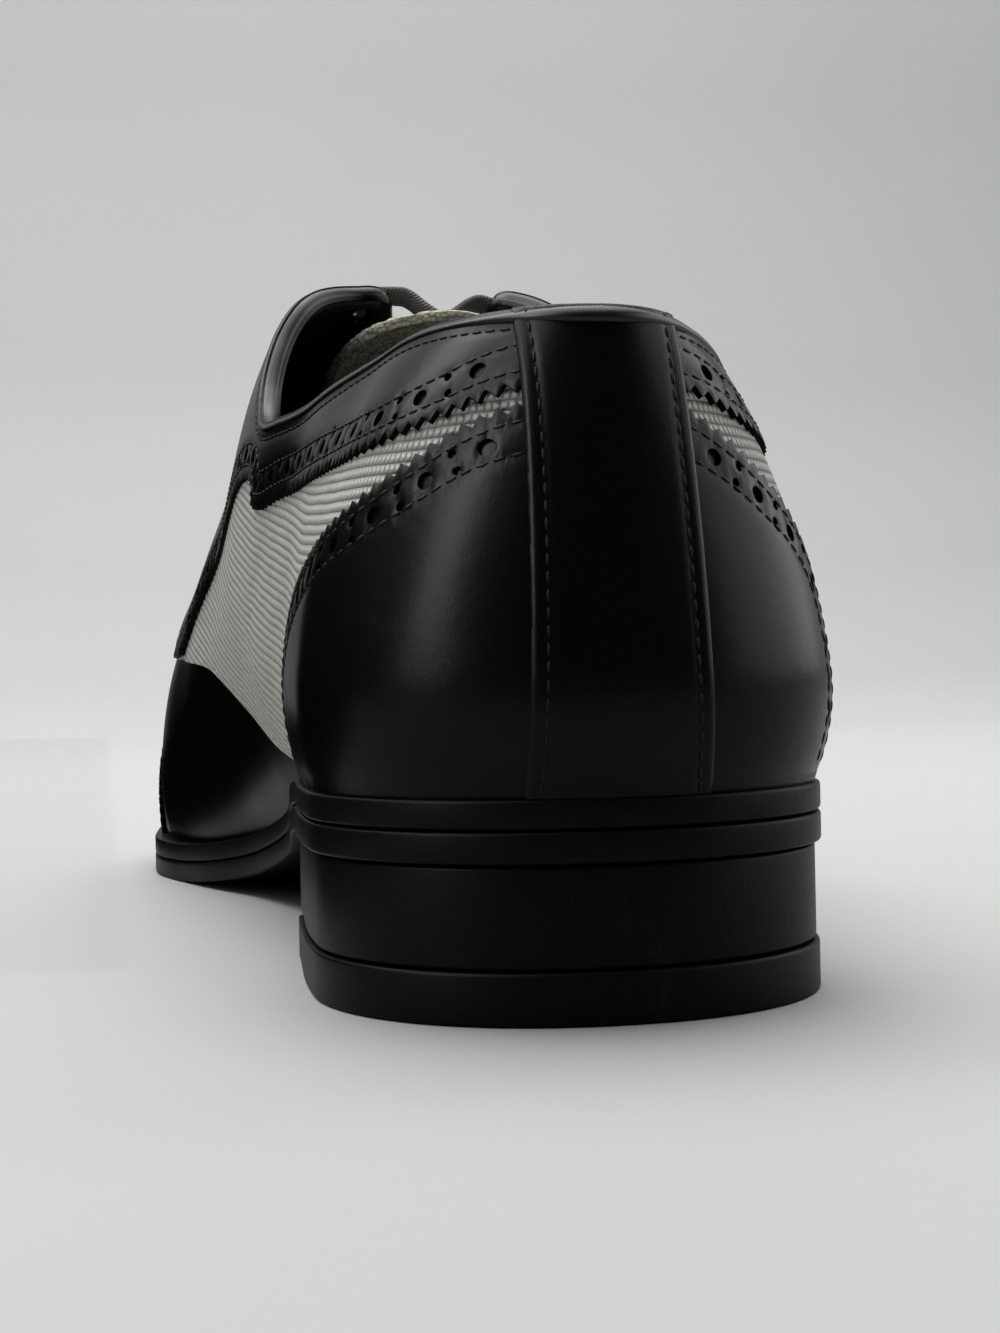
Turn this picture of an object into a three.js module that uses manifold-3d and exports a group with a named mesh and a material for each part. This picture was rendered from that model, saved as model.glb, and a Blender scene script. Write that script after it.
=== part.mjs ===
// Spectator shoe for the right foot: a lace-up derby with brogued overlays on a hollow upper, over a
// welted sole with a stacked heel. Millimetres, +Z up, +Y from heel to toe, +X to the lateral side.
import * as THREE from "three";
import { mergeVertices } from "three/addons/utils/BufferGeometryUtils.js";
import Module from "manifold-3d";

const wasm = await Module();
wasm.setup();

// Driving dimensions of the last and the sole.
const SOLE_LENGTH = 302;
const HEEL_WIDTH = 71;
const WAIST_WIDTH = 68;
const BALL_WIDTH = 106;
const TOE_WIDTH = 79;
const HEEL_ROUND = 34;
const TOE_ROUND = 42;
const HEEL_SEAT = 20;
const TOE_SPRING = 11;
const CONE_HEIGHT = 112;
const BALL_HEIGHT = 60;
const TOE_HEIGHT = 42;

// Sole layers, from the top down.
const WELT = 3.7;
const OUTSOLE = 4.0;
const TOP_LIFT = 6.7;
const HEEL_BREAST = 72;
const HEEL_INSET = 0.9;
const EDGE_ROUND = 0.7;
const SEAM_GAP = 0.3;

// Upper, its pieces and its openings.
const WALL = 2.0;
const FEATHER_INSET = 2.4;
const TOE_FEATHER_INSET = 3.6;
const OVERLAY = 1.2;
const TONGUE = 2.6;
const TONGUE_GAP = 0.4;
const TONGUE_TOP = 130;
const TONGUE_WIDTH = 46;
const INSOLE = 2.6;
const COLLAR_BACK = 89;
const COLLAR_DIP = 85.5;
const COLLAR_DIP_OUT = 77;
const FACING_TOP = 115;
const FACING_FRONT = 134;
const THROAT_END = 186;
const THROAT_WIDTH = 13;
const EYELET = 4.4;
const EYELET_PAIRS = 4;
const EYELET_SETBACK = 8;
const LACE_WIDTH = 4.2;
const LACE_THICKNESS = 1.8;
const BACK_STRIP_TOP = 19;
const BACK_STRIP_BOTTOM = 23.5;

// Steps of the faceted surfaces.
const STATIONS = 28;
const RINGS = 14;

const LEATHER_BLACK = { color: 0x0b0b0c, roughness: 0.28, metalness: 0 };
const LEATHER_WHITE = { color: 0xd9d8d2, roughness: 0.6, metalness: 0 };
const RUBBER = { color: 0x0d0d0e, roughness: 0.5, metalness: 0 };
const LINING = { color: 0xb9b09a, roughness: 0.9, metalness: 0 };
const LACE = { color: 0x121212, roughness: 0.8, metalness: 0 };

function table(columns, rows) {
  return rows.map((row) => Object.fromEntries(row.map((value, i) => [columns[i], value])));
}

// A smooth curve through one column of a table, against its first column.
function curveOf(rows, column, key = "along") {
  const x = rows.map((row) => row[key]);
  const f = rows.map((row) => row[column]);
  const chord = x.slice(1).map((end, i) => (f[i + 1] - f[i]) / (end - x[i]));
  const slope = x.map((_, i) => {
    if (i === 0) return chord[0];
    if (i === x.length - 1) return chord[i - 1];
    if (chord[i - 1] * chord[i] <= 0) return 0;
    return (2 * chord[i - 1] * chord[i]) / (chord[i - 1] + chord[i]);
  });
  return (at) => {
    const p = Math.min(Math.max(at, x[0]), x[x.length - 1]);
    let i = 0;
    while (i < x.length - 2 && p > x[i + 1]) i += 1;
    const run = x[i + 1] - x[i];
    const t = (p - x[i]) / run;
    const s = 1 - t;
    return (
      s * s * (1 + 2 * t) * f[i] +
      t * s * s * run * slope[i] +
      t * t * (1 + 2 * s) * f[i + 1] -
      t * t * s * run * slope[i + 1]
    );
  };
}

// Plan of the sole: whole width and the swing of its middle towards the lateral side.
const PLAN = table(["along", "width", "swing"], [
  [0.0, 0.98 * HEEL_WIDTH, 0],
  [0.13, 1.0 * HEEL_WIDTH, 0],
  [0.25, 0.96 * HEEL_WIDTH, 0.005 * BALL_WIDTH],
  [0.4, 1.0 * WAIST_WIDTH, 0.035 * BALL_WIDTH],
  [0.5, 1.12 * WAIST_WIDTH, 0.04 * BALL_WIDTH],
  [0.6, 0.88 * BALL_WIDTH, 0.025 * BALL_WIDTH],
  [0.7, 1.0 * BALL_WIDTH, 0.015 * BALL_WIDTH],
  [0.78, 0.965 * BALL_WIDTH, 0.01 * BALL_WIDTH],
  [0.87, 1.08 * TOE_WIDTH, 0.015 * BALL_WIDTH],
  [1.0, 0.84 * TOE_WIDTH, 0.02 * BALL_WIDTH],
]);

// Underside of the sole above the floor, as parts of the heel seat and the toe spring.
const UNDERSIDE = table(["along", "heel", "spring"], [
  [0.0, 1, 0],
  [0.2, 1, 0],
  [0.27, 0.93, 0],
  [0.4, 0.58, 0],
  [0.52, 0.2, 0],
  [0.6, 0.04, 0],
  [0.65, 0, 0],
  [0.75, 0, 0],
  [0.83, 0, 0.16],
  [0.92, 0, 0.52],
  [1.0, 0, 1],
]);

// The last: height of its ridge, its lean towards the medial side, fullness of the walls, roundness
// of the medial and lateral shoulders, and how far each wall swells out past the feather line.
const LAST = table(["along", "ridge", "lean", "wall", "medial", "lateral", "swellIn", "swellOut"], [
  [0.0, 0.94 * CONE_HEIGHT, 0, 2.4, 1.0, 1.0, 3.4, 3.4],
  [0.12, 0.98 * CONE_HEIGHT, 0, 2.4, 1.1, 1.05, 2.7, 3.4],
  [0.24, 1.04 * CONE_HEIGHT, 0.01 * BALL_WIDTH, 2.5, 2.0, 1.6, 3.0, 3.4],
  [0.34, 1.08 * CONE_HEIGHT, 0.025 * BALL_WIDTH, 2.8, 2.9, 2.1, 9.0, 4.0],
  [0.42, 1.06 * CONE_HEIGHT, 0.045 * BALL_WIDTH, 3.0, 3.0, 2.3, 12.0, 4.0],
  [0.5, 0.92 * CONE_HEIGHT, 0.06 * BALL_WIDTH, 3.0, 3.1, 2.2, 10.0, 3.5],
  [0.6, 0.69 * CONE_HEIGHT, 0.08 * BALL_WIDTH, 3.1, 3.2, 2.2, 5.0, 2.5],
  [0.7, 1.06 * BALL_HEIGHT, 0.085 * BALL_WIDTH, 3.0, 3.1, 2.2, 1.5, 1.2],
  [0.8, 0.89 * BALL_HEIGHT, 0.07 * BALL_WIDTH, 2.7, 2.8, 2.3, 0.8, 0.8],
  [0.92, 1.02 * TOE_HEIGHT, 0.04 * BALL_WIDTH, 2.3, 2.4, 2.3, 0.6, 0.6],
  [1.0, 0.95 * TOE_HEIGHT, 0.02 * BALL_WIDTH, 2.2, 2.3, 2.3, 0.6, 0.6],
]);
const SWELL_HEIGHT = table(["along", "height"], [
  [0.0, 15],
  [0.24, 17],
  [0.42, 42],
  [0.55, 36],
  [0.7, 18],
  [1.0, 14],
]);
const SPINE_REAR = 16;
const SPINE_FRONT = 26;

const planWidth = curveOf(PLAN, "width");
const planSwing = curveOf(PLAN, "swing");
const heelShare = curveOf(UNDERSIDE, "heel");
const springShare = curveOf(UNDERSIDE, "spring");
const ridgeHeight = curveOf(LAST, "ridge");
const ridgeLean = curveOf(LAST, "lean");
const wallFullness = curveOf(LAST, "wall");
const shoulder = { "-1": curveOf(LAST, "medial"), 1: curveOf(LAST, "lateral") };
const swell = { "-1": curveOf(LAST, "swellIn"), 1: curveOf(LAST, "swellOut") };
const swellHeight = curveOf(SWELL_HEIGHT, "height");

const share = (y) => y / SOLE_LENGTH;
const undersideAt = (y) => HEEL_SEAT * heelShare(share(y)) + TOE_SPRING * springShare(share(y));
const featherAt = (y) => undersideAt(y) + OUTSOLE + SEAM_GAP + WELT;

// End rounding of the plan: 1 along the sides, falling to 0 at the heel and the toe.
function endRound(y) {
  const fromHeel = Math.min(1, Math.max(0, y / HEEL_ROUND));
  const fromToe = Math.min(1, Math.max(0, (SOLE_LENGTH - y) / TOE_ROUND));
  const heel = Math.pow(1 - Math.pow(1 - fromHeel, 2.15), 1 / 2.15);
  const toe = Math.pow(1 - Math.pow(1 - fromToe, 2.2), 1 / 2.2);
  return heel * toe;
}

// Point of the sole's outline: s runs 0 to 1 from heel to toe, side is -1 medial or +1 lateral.
function outline(s, side) {
  const y = (SOLE_LENGTH * (1 - Math.cos(Math.PI * s))) / 2;
  const half = (planWidth(share(y)) / 2) * endRound(y);
  return new THREE.Vector2(planSwing(share(y)) + side * half, y);
}

function outlineNormal(s, side) {
  const step = 1e-4;
  const ahead = outline(Math.min(1, s + step), side);
  const behind = outline(Math.max(0, s - step), side);
  const run = ahead.sub(behind);
  if (s < step) return new THREE.Vector2(0, -1);
  if (s > 1 - step) return new THREE.Vector2(0, 1);
  return new THREE.Vector2(side * run.y, -side * run.x).normalize();
}

function rim(s, side, inset) {
  return outline(s, side).addScaledVector(outlineNormal(s, side), -inset);
}

const stationOf = (y) => Math.acos(1 - (2 * y) / SOLE_LENGTH) / Math.PI;

function solidFrom(points, faces) {
  const kept = faces.filter(([a, b, c]) => {
    const [p, q, r] = [points[a], points[b], points[c]];
    return q.clone().sub(p).cross(r.clone().sub(p)).length() > 1e-7;
  });
  const raw = new THREE.BufferGeometry().setFromPoints(points);
  raw.setIndex(kept.flat());
  const merged = mergeVertices(raw, 1e-4);
  const index = [...merged.index.array];
  const triVerts = [];
  for (let i = 0; i < index.length; i += 3) {
    const [a, b, c] = index.slice(i, i + 3);
    if (a !== b && b !== c && a !== c) triVerts.push(a, b, c);
  }
  const solid = new wasm.Manifold(
    new wasm.Mesh({
      numProp: 3,
      vertProperties: merged.attributes.position.array,
      triVerts: new Uint32Array(triVerts),
    }),
  );
  return solid;
}

function solidOfGeometry(geometry) {
  const bare = geometry.index ? geometry.toNonIndexed() : geometry.clone();
  bare.deleteAttribute("normal");
  bare.deleteAttribute("uv");
  const merged = mergeVertices(bare, 1e-4);
  return new wasm.Manifold(
    new wasm.Mesh({
      numProp: 3,
      vertProperties: merged.attributes.position.array,
      triVerts: new Uint32Array(merged.index.array),
    }),
  );
}

// Closed solid lofted through sections that each run down the medial side and up the lateral side.
function loft(sections) {
  const points = sections.flat();
  const loop = sections[0].length;
  const faces = [];
  for (let i = 0; i < sections.length - 1; i += 1) {
    for (let k = 0; k < loop; k += 1) {
      const a = i * loop + k;
      const b = i * loop + ((k + 1) % loop);
      faces.push([a, a + loop, b], [b, a + loop, b + loop]);
    }
  }
  const lastStart = (sections.length - 1) * loop;
  for (let k = 0; k < loop / 2 - 1; k += 1) {
    const m = [k, k + 1];
    const l = [loop - 1 - k, loop - 2 - k];
    faces.push([m[0], m[1], l[0]], [m[1], l[1], l[0]]);
    faces.push(
      [lastStart + m[0], lastStart + l[0], lastStart + m[1]],
      [lastStart + m[1], lastStart + l[0], lastStart + l[1]],
    );
  }
  return solidFrom(points, faces);
}

// One layer of the sole between two heights, its edge given as rings of inset and depth share.
function layer(top, bottom, edge, toY = SOLE_LENGTH, steps = STATIONS) {
  const lastStation = stationOf(toY);
  const sections = [];
  for (let i = 0; i <= steps; i += 1) {
    const s = (lastStation * i) / steps;
    const ring = (side) =>
      edge.map(({ inset, depth }) => {
        const p = rim(s, side, inset);
        const z = top(p.y) + (bottom(p.y) - top(p.y)) * depth;
        return new THREE.Vector3(p.x, p.y, z);
      });
    sections.push([...ring(-1), ...ring(1).reverse()]);
  }
  return loft(sections);
}

const EDGE = table(["inset", "depth"], [
  [EDGE_ROUND, 0],
  [0, 0.22],
  [0, 0.78],
  [EDGE_ROUND, 1],
]);

function makeWelt() {
  return layer(featherAt, (y) => featherAt(y) - WELT, EDGE);
}

function makeOutsole() {
  return layer((y) => undersideAt(y) + OUTSOLE, undersideAt, EDGE);
}

const heelEdge = (inset) => EDGE.map((ring) => ({ ...ring, inset: ring.inset + inset }));

function makeHeelBlock() {
  const top = (y) => undersideAt(y) - SEAM_GAP;
  return layer(top, () => TOP_LIFT + SEAM_GAP, heelEdge(HEEL_INSET), HEEL_BREAST, 14);
}

function makeTopLift() {
  return layer(() => TOP_LIFT, () => 0, heelEdge(0.5 * HEEL_INSET), HEEL_BREAST - 1, 14);
}

// Point of the last: s and side as on the outline, h from 0 at the feather to 1 at the ridge.
function lastPoint(s, side, h) {
  const edge = outline(s, side);
  const at = share(edge.y);
  const inset = FEATHER_INSET + (TOE_FEATHER_INSET - FEATHER_INSET) * Math.pow(at, 3);
  const normal = outlineNormal(s, side);
  const spineY = SPINE_REAR + (SOLE_LENGTH - SPINE_REAR - SPINE_FRONT) * at;
  const spineX = planSwing(share(spineY)) - ridgeLean(share(spineY));
  const foot = featherAt(edge.y) + SEAM_GAP;
  const rise = (ridgeHeight(share(spineY)) - foot) * h;
  const keep = Math.pow(1 - Math.pow(h, wallFullness(at)), 1 / shoulder[side](at));
  const low = 1 - Math.min(1, rise / swellHeight(at));
  const base = edge.addScaledVector(normal, swell[side](at) * (1 - low * low) - inset);
  return new THREE.Vector3(
    spineX + (base.x - spineX) * keep,
    spineY + (base.y - spineY) * keep,
    foot + rise,
  );
}

function lastNormal(s, side, h) {
  const ds = 2e-3;
  const dh = 2e-3;
  const s0 = Math.max(0, s - ds);
  const s1 = Math.min(1, s + ds);
  const h0 = Math.max(0, h - dh);
  const h1 = Math.min(1, h + dh);
  if (h > 0.995) return new THREE.Vector3(0, 0, 1);
  const up = lastPoint(s, side, h1).sub(lastPoint(s, side, h0));
  let normal;
  if (s < ds || s > 1 - ds) {
    normal = new THREE.Vector3(0, up.z, -up.y);
    if (s < ds) normal.negate();
  } else {
    const around = lastPoint(s1, side, h).sub(lastPoint(s0, side, h));
    normal = side > 0 ? around.cross(up) : up.cross(around);
  }
  if (h === 0) normal.z = 0;
  return normal.normalize();
}

function lastOffset(s, side, h, offset) {
  return lastPoint(s, side, h).addScaledVector(lastNormal(s, side, h), offset);
}

// The last as one closed body, grown or shrunk by an offset, with its foot dropped by a skirt.
function lastBody(offset, skirt = 0) {
  const heights = [0];
  for (let k = 1; k <= RINGS; k += 1) heights.push(Math.sin((Math.PI * k) / (2 * RINGS)));
  const sections = [];
  for (let i = 0; i <= STATIONS; i += 1) {
    const s = i / STATIONS;
    const ring = (side) => {
      const up = heights.map((h) => lastOffset(s, side, h, offset));
      const foot = up[0].clone();
      foot.z -= skirt;
      return skirt > 0 ? [foot, ...up] : up;
    };
    sections.push([...ring(-1).reverse(), ...ring(1)]);
  }
  return loft(sections);
}

// Prism of a side view outline, from one x to another.
function sideCutter(points, x0, x1) {
  const shape = new THREE.Shape(points.map(([y, z]) => new THREE.Vector2(y, z)));
  const geometry = new THREE.ExtrudeGeometry(shape, { depth: x1 - x0, bevelEnabled: false });
  const turn = new THREE.Matrix4().set(0, 0, 1, x0, 1, 0, 0, 0, 0, 1, 0, 0, 0, 0, 0, 1);
  return solidOfGeometry(geometry.applyMatrix4(turn));
}

function planCutter(points, z0, z1) {
  const shape = new THREE.Shape(points.map(([x, y]) => new THREE.Vector2(x, y)));
  const geometry = new THREE.ExtrudeGeometry(shape, { depth: z1 - z0, bevelEnabled: false });
  return solidOfGeometry(geometry.translate(0, 0, z0));
}

// A smooth line through points of a side view, in short steps.
function smoothLine(points, steps = 4) {
  const curve = new THREE.CatmullRomCurve3(
    points.map(([y, z]) => new THREE.Vector3(y, z, 0)),
    false,
    "centripetal",
  );
  return curve.getPoints(steps * (points.length - 1)).map((p) => [p.x, p.y]);
}

const FAR = 200;

// Side view of the opening's rim from behind the heel to the front of the facing, on each side.
const FACING_RISE = FACING_TOP - COLLAR_DIP;
const FACING_RISE_OUT = FACING_TOP - COLLAR_DIP_OUT;
const TOPLINE = table(["y", "medial", "lateral"], [
  [-6, COLLAR_BACK + 1, COLLAR_BACK + 1],
  [8, COLLAR_BACK, COLLAR_BACK],
  [0.1 * SOLE_LENGTH, COLLAR_BACK, 0.6 * COLLAR_BACK + 0.4 * COLLAR_DIP_OUT],
  [0.2 * SOLE_LENGTH, 0.3 * COLLAR_BACK + 0.7 * COLLAR_DIP, COLLAR_DIP_OUT],
  [0.29 * SOLE_LENGTH, COLLAR_DIP, COLLAR_DIP_OUT],
  [0.335 * SOLE_LENGTH, COLLAR_DIP + 1, COLLAR_DIP_OUT + 0.12 * FACING_RISE_OUT],
  [0.365 * SOLE_LENGTH, COLLAR_DIP + 0.25 * FACING_RISE, COLLAR_DIP_OUT + 0.4 * FACING_RISE_OUT],
  [0.39 * SOLE_LENGTH, COLLAR_DIP + 0.56 * FACING_RISE, COLLAR_DIP_OUT + 0.65 * FACING_RISE_OUT],
  [FACING_FRONT - 9, COLLAR_DIP + 0.85 * FACING_RISE, COLLAR_DIP_OUT + 0.88 * FACING_RISE_OUT],
  [FACING_FRONT, FACING_TOP, FACING_TOP],
  [FACING_FRONT + 10, FACING_TOP, FACING_TOP],
]);

function toplineCutter(side) {
  const rim = smoothLine(TOPLINE.map((row) => [row.y, side < 0 ? row.medial : row.lateral]));
  const front = rim[rim.length - 1][0];
  const outline = [[-FAR, COLLAR_BACK + 1], ...rim, [front, FAR], [-FAR, FAR]];
  return side < 0 ? sideCutter(outline, -FAR, 0) : sideCutter(outline, 0, FAR);
}

// Plan view of the gap between the quarters, carried on over the vamp in front of the throat.
function quarterGapCutter() {
  const half = THROAT_WIDTH / 2;
  const x = planSwing(share(THROAT_END));
  const [rear, front] = [THROAT_END - THROAT_WIDTH, THROAT_END + 40];
  const outline = [[x - half, rear], [x + half, rear], [x + half, front], [x - half, front]];
  return planCutter(outline, BALL_HEIGHT - 15, FAR);
}

// Plan view of the throat between the facings, with a round end at the vamp.
function throatCutter() {
  const half = THROAT_WIDTH / 2;
  const x = planSwing(share(THROAT_END));
  const points = [[x - half, FACING_FRONT - 60]];
  points.push([x + half, FACING_FRONT - 60]);
  for (let k = 0; k <= 8; k += 1) {
    const turn = (Math.PI * k) / 8;
    points.push([x + half * Math.cos(turn), THROAT_END - half + half * Math.sin(turn)]);
  }
  return planCutter(points, BALL_HEIGHT - 15, FAR);
}

// Surface point and normal above a place in plan, found by closing in on it.
function surfaceAbove(x, y, offset) {
  const side = x < planSwing(share(y)) ? -1 : 1;
  let best = { s: 0.5, h: 0.9, gap: Infinity };
  let span = 0.5;
  for (let round = 0; round < 14; round += 1) {
    const from = { ...best };
    for (let i = -6; i <= 6; i += 1) {
      for (let k = -6; k <= 6; k += 1) {
        const s = Math.min(0.98, Math.max(0.02, from.s + (i / 6) * span));
        const h = Math.min(0.99, Math.max(0.4, from.h + (k / 6) * span * 0.6));
        const p = lastPoint(s, side, h);
        const gap = Math.hypot(p.x - x, p.y - y);
        if (gap < best.gap) best = { s, h, gap };
      }
    }
    span *= 0.62;
  }
  const normal = lastNormal(best.s, side, best.h);
  const point = lastPoint(best.s, side, best.h).addScaledVector(normal, offset);
  return { point, normal };
}

function eyeletPlaces() {
  const places = [];
  const first = FACING_FRONT + 4;
  const pitch = (THROAT_END - 16 - first) / (EYELET_PAIRS - 1);
  for (let i = 0; i < EYELET_PAIRS; i += 1) {
    for (const side of [-1, 1]) {
      const y = first + pitch * i;
      const x = planSwing(share(THROAT_END)) + side * (THROAT_WIDTH / 2 + EYELET_SETBACK);
      places.push({ pair: i, side, ...surfaceAbove(x, y, 0) });
    }
  }
  return places;
}

function eyeletCutters() {
  return eyeletPlaces().map(({ point, normal }) => {
    const geometry = new THREE.CylinderGeometry(EYELET / 2, EYELET / 2, 14, 10);
    const turn = new THREE.Quaternion().setFromUnitVectors(new THREE.Vector3(0, 1, 0), normal);
    geometry.applyQuaternion(turn).translate(point.x, point.y, point.z);
    return solidOfGeometry(geometry);
  });
}

const openings = [toplineCutter(-1), toplineCutter(1), throatCutter(), ...eyeletCutters()];
const openUp = (solid) => openings.reduce((body, cutter) => body.subtract(cutter), solid);

function makeUpper() {
  return openUp(lastBody(0).subtract(lastBody(-WALL, 12)));
}

// Overlays lie on the upper with a seam's gap, and cover the part of it inside their side view.
const overlayInner = SEAM_GAP;
const shell = lastBody(overlayInner + OVERLAY).subtract(lastBody(overlayInner, 12));
const openShell = openUp(shell);

// Side view outlines of the overlays, as heights over a length from the heel.
const COUNTER_HEIGHT = 78;
const COUNTER_REACH = 67;
const COUNTER_EDGE = table(["y", "z"], [
  [-6, COUNTER_HEIGHT],
  [0.09 * COUNTER_REACH, 0.985 * COUNTER_HEIGHT],
  [0.15 * COUNTER_REACH, 0.955 * COUNTER_HEIGHT],
  [0.23 * COUNTER_REACH, 0.9 * COUNTER_HEIGHT],
  [0.33 * COUNTER_REACH, 0.85 * COUNTER_HEIGHT],
  [0.48 * COUNTER_REACH, 0.8 * COUNTER_HEIGHT],
  [0.69 * COUNTER_REACH, 0.735 * COUNTER_HEIGHT],
  [0.85 * COUNTER_REACH, 0.65 * COUNTER_HEIGHT],
  [0.96 * COUNTER_REACH, 0.55 * COUNTER_HEIGHT],
  [COUNTER_REACH, 0.45 * COUNTER_HEIGHT],
  [0.98 * COUNTER_REACH, 0.34 * COUNTER_HEIGHT],
]);

// The lateral counter is shorter, and its front edge stands nearly upright.
const COUNTER_REACH_OUT = 24;
const COUNTER_EDGE_OUT = table(["y", "z"], [
  [-6, COUNTER_HEIGHT],
  [0.21 * COUNTER_REACH_OUT, 0.987 * COUNTER_HEIGHT],
  [0.36 * COUNTER_REACH_OUT, 0.935 * COUNTER_HEIGHT],
  [0.5 * COUNTER_REACH_OUT, 0.877 * COUNTER_HEIGHT],
  [0.69 * COUNTER_REACH_OUT, 0.815 * COUNTER_HEIGHT],
  [0.83 * COUNTER_REACH_OUT, 0.744 * COUNTER_HEIGHT],
  [0.9 * COUNTER_REACH_OUT, 0.641 * COUNTER_HEIGHT],
  [0.905 * COUNTER_REACH_OUT, 0.538 * COUNTER_HEIGHT],
  [0.925 * COUNTER_REACH_OUT, 0.436 * COUNTER_HEIGHT],
  [0.975 * COUNTER_REACH_OUT, 0.346 * COUNTER_HEIGHT],
]);

// Collar band: its lower edge from the heel to the round tab under the facing.
const TAB_REACH = 104;
const TAB_HEIGHT = 71;
const BAND_EDGE = table(["y", "z"], [
  [-6, COUNTER_HEIGHT + 1.2],
  [0.06 * TAB_REACH, COUNTER_HEIGHT + 0.4],
  [0.13 * TAB_REACH, 1.06 * TAB_HEIGHT],
  [0.24 * TAB_REACH, 1.025 * TAB_HEIGHT],
  [0.45 * TAB_REACH, 1.015 * TAB_HEIGHT],
  [0.8 * TAB_REACH, 1.01 * TAB_HEIGHT],
  [0.93 * TAB_REACH, TAB_HEIGHT],
  [0.985 * TAB_REACH, 1.02 * TAB_HEIGHT],
  [1.01 * TAB_REACH, 1.07 * TAB_HEIGHT],
]);

// Band along the front of the quarter, down to the ball of the foot.
const BALL_CORNER = 196;
const BALL_CORNER_HEIGHT = 47;
const FRONT_BAND_BACK = table(["y", "z"], [
  [1.01 * TAB_REACH, 1.07 * TAB_HEIGHT],
  [1.13 * TAB_REACH, 1.09 * TAB_HEIGHT],
  [0.71 * BALL_CORNER, 1.52 * BALL_CORNER_HEIGHT],
  [0.81 * BALL_CORNER, 1.34 * BALL_CORNER_HEIGHT],
  [0.88 * BALL_CORNER, 1.18 * BALL_CORNER_HEIGHT],
  [0.94 * BALL_CORNER, BALL_CORNER_HEIGHT],
]);
const FRONT_BAND_FRONT = table(["y", "z"], [
  [BALL_CORNER, BALL_CORNER_HEIGHT],
  [1.01 * BALL_CORNER, 1.2 * BALL_CORNER_HEIGHT],
  [1.0 * BALL_CORNER, 1.42 * BALL_CORNER_HEIGHT],
  [0.95 * BALL_CORNER, 1.8 * BALL_CORNER_HEIGHT],
]);

const WING_EDGE = table(["y", "z"], [
  [0.71 * SOLE_LENGTH, -0.2 * BALL_HEIGHT],
  [0.735 * SOLE_LENGTH, 0.15 * BALL_HEIGHT],
  [0.76 * SOLE_LENGTH, 0.4 * BALL_HEIGHT],
  [0.782 * SOLE_LENGTH, 0.6 * BALL_HEIGHT],
  [0.79 * SOLE_LENGTH, 0.72 * BALL_HEIGHT],
  [0.785 * SOLE_LENGTH, 0.82 * BALL_HEIGHT],
  [0.765 * SOLE_LENGTH, 0.95 * BALL_HEIGHT],
  [0.74 * SOLE_LENGTH, 1.1 * BALL_HEIGHT],
]);

const line = (rows) => smoothLine(rows.map(({ y, z }) => [y, z]), 3);

function backStripCutter(grow) {
  const top = BACK_STRIP_TOP / 2 + grow;
  const bottom = BACK_STRIP_BOTTOM / 2 + grow;
  const rise = (z) => bottom + ((top - bottom) * (z - HEEL_SEAT)) / (COLLAR_BACK - HEEL_SEAT);
  const shape = new THREE.Shape([
    new THREE.Vector2(-rise(0), 0),
    new THREE.Vector2(rise(0), 0),
    new THREE.Vector2(rise(FAR / 2), FAR / 2),
    new THREE.Vector2(-rise(FAR / 2), FAR / 2),
  ]);
  const geometry = new THREE.ExtrudeGeometry(shape, { depth: SPINE_REAR + 30, bevelEnabled: false });
  geometry.rotateX(Math.PI / 2).translate(0, SPINE_REAR + 10, 0);
  return solidOfGeometry(geometry);
}

function counterCutter(rows, x0, x1) {
  const edge = line(rows);
  const low = edge[edge.length - 1][0];
  return sideCutter([[-FAR, 0], [-FAR, COUNTER_HEIGHT], ...edge, [low, 0]], x0, x1);
}

function bandCutter(x0, x1) {
  const low = line(BAND_EDGE);
  const back = line(FRONT_BAND_BACK).slice(1);
  const front = line(FRONT_BAND_FRONT);
  const ahead = front[front.length - 1][0];
  const outline = [[-FAR, COUNTER_HEIGHT + 1.2], ...low, ...back, ...front, [ahead, FAR], [-FAR, FAR]];
  return sideCutter(outline, x0, x1);
}

function makeBackStrip() {
  return openShell.intersect(backStripCutter(0));
}

function makeCounter(side) {
  const cutter =
    side < 0 ? counterCutter(COUNTER_EDGE, -FAR, 0) : counterCutter(COUNTER_EDGE_OUT, 0, FAR);
  return openShell.intersect(cutter).subtract(backStripCutter(SEAM_GAP));
}

function makeBand(side) {
  const [x0, x1] = side < 0 ? [-FAR, 0] : [0, FAR];
  const band = openShell.intersect(bandCutter(x0, x1)).subtract(backStripCutter(SEAM_GAP));
  return band.subtract(quarterGapCutter());
}

function makeWing() {
  const edge = line(WING_EDGE);
  const ahead = 2 * SOLE_LENGTH;
  const outline = [...edge, [ahead, edge[edge.length - 1][1]], [ahead, edge[0][1]]];
  return openShell.intersect(sideCutter(outline, -FAR, FAR));
}

function makeTongue() {
  const outer = -WALL - TONGUE_GAP;
  const body = lastBody(outer).subtract(lastBody(outer - TONGUE, 12));
  const x = planSwing(share(THROAT_END));
  const half = TONGUE_WIDTH / 2;
  const rear = TONGUE_TOP;
  const front = THROAT_END + 12;
  const outline = [
    [x - half, rear + 15],
    [x - 0.88 * half, rear + 6],
    [x - 0.55 * half, rear + 1],
    [x, rear - 1],
    [x + 0.55 * half, rear + 1],
    [x + 0.88 * half, rear + 6],
    [x + half, rear + 15],
    [x + 0.8 * half, front - 6],
    [x + 0.5 * half, front],
    [x - 0.5 * half, front],
    [x - 0.8 * half, front - 6],
  ];
  return body.intersect(planCutter(outline, BALL_HEIGHT - 22, FAR));
}

function makeInsole() {
  const sections = [];
  for (let i = 0; i <= STATIONS; i += 1) {
    const s = i / STATIONS;
    const ring = (side) =>
      [INSOLE, 0].map((up) => {
        const inner = lastOffset(s, side, 0, -WALL - SEAM_GAP);
        return inner.add(new THREE.Vector3(0, 0, up));
      });
    sections.push([...ring(-1), ...ring(1).reverse()]);
  }
  return loft(sections);
}

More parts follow.
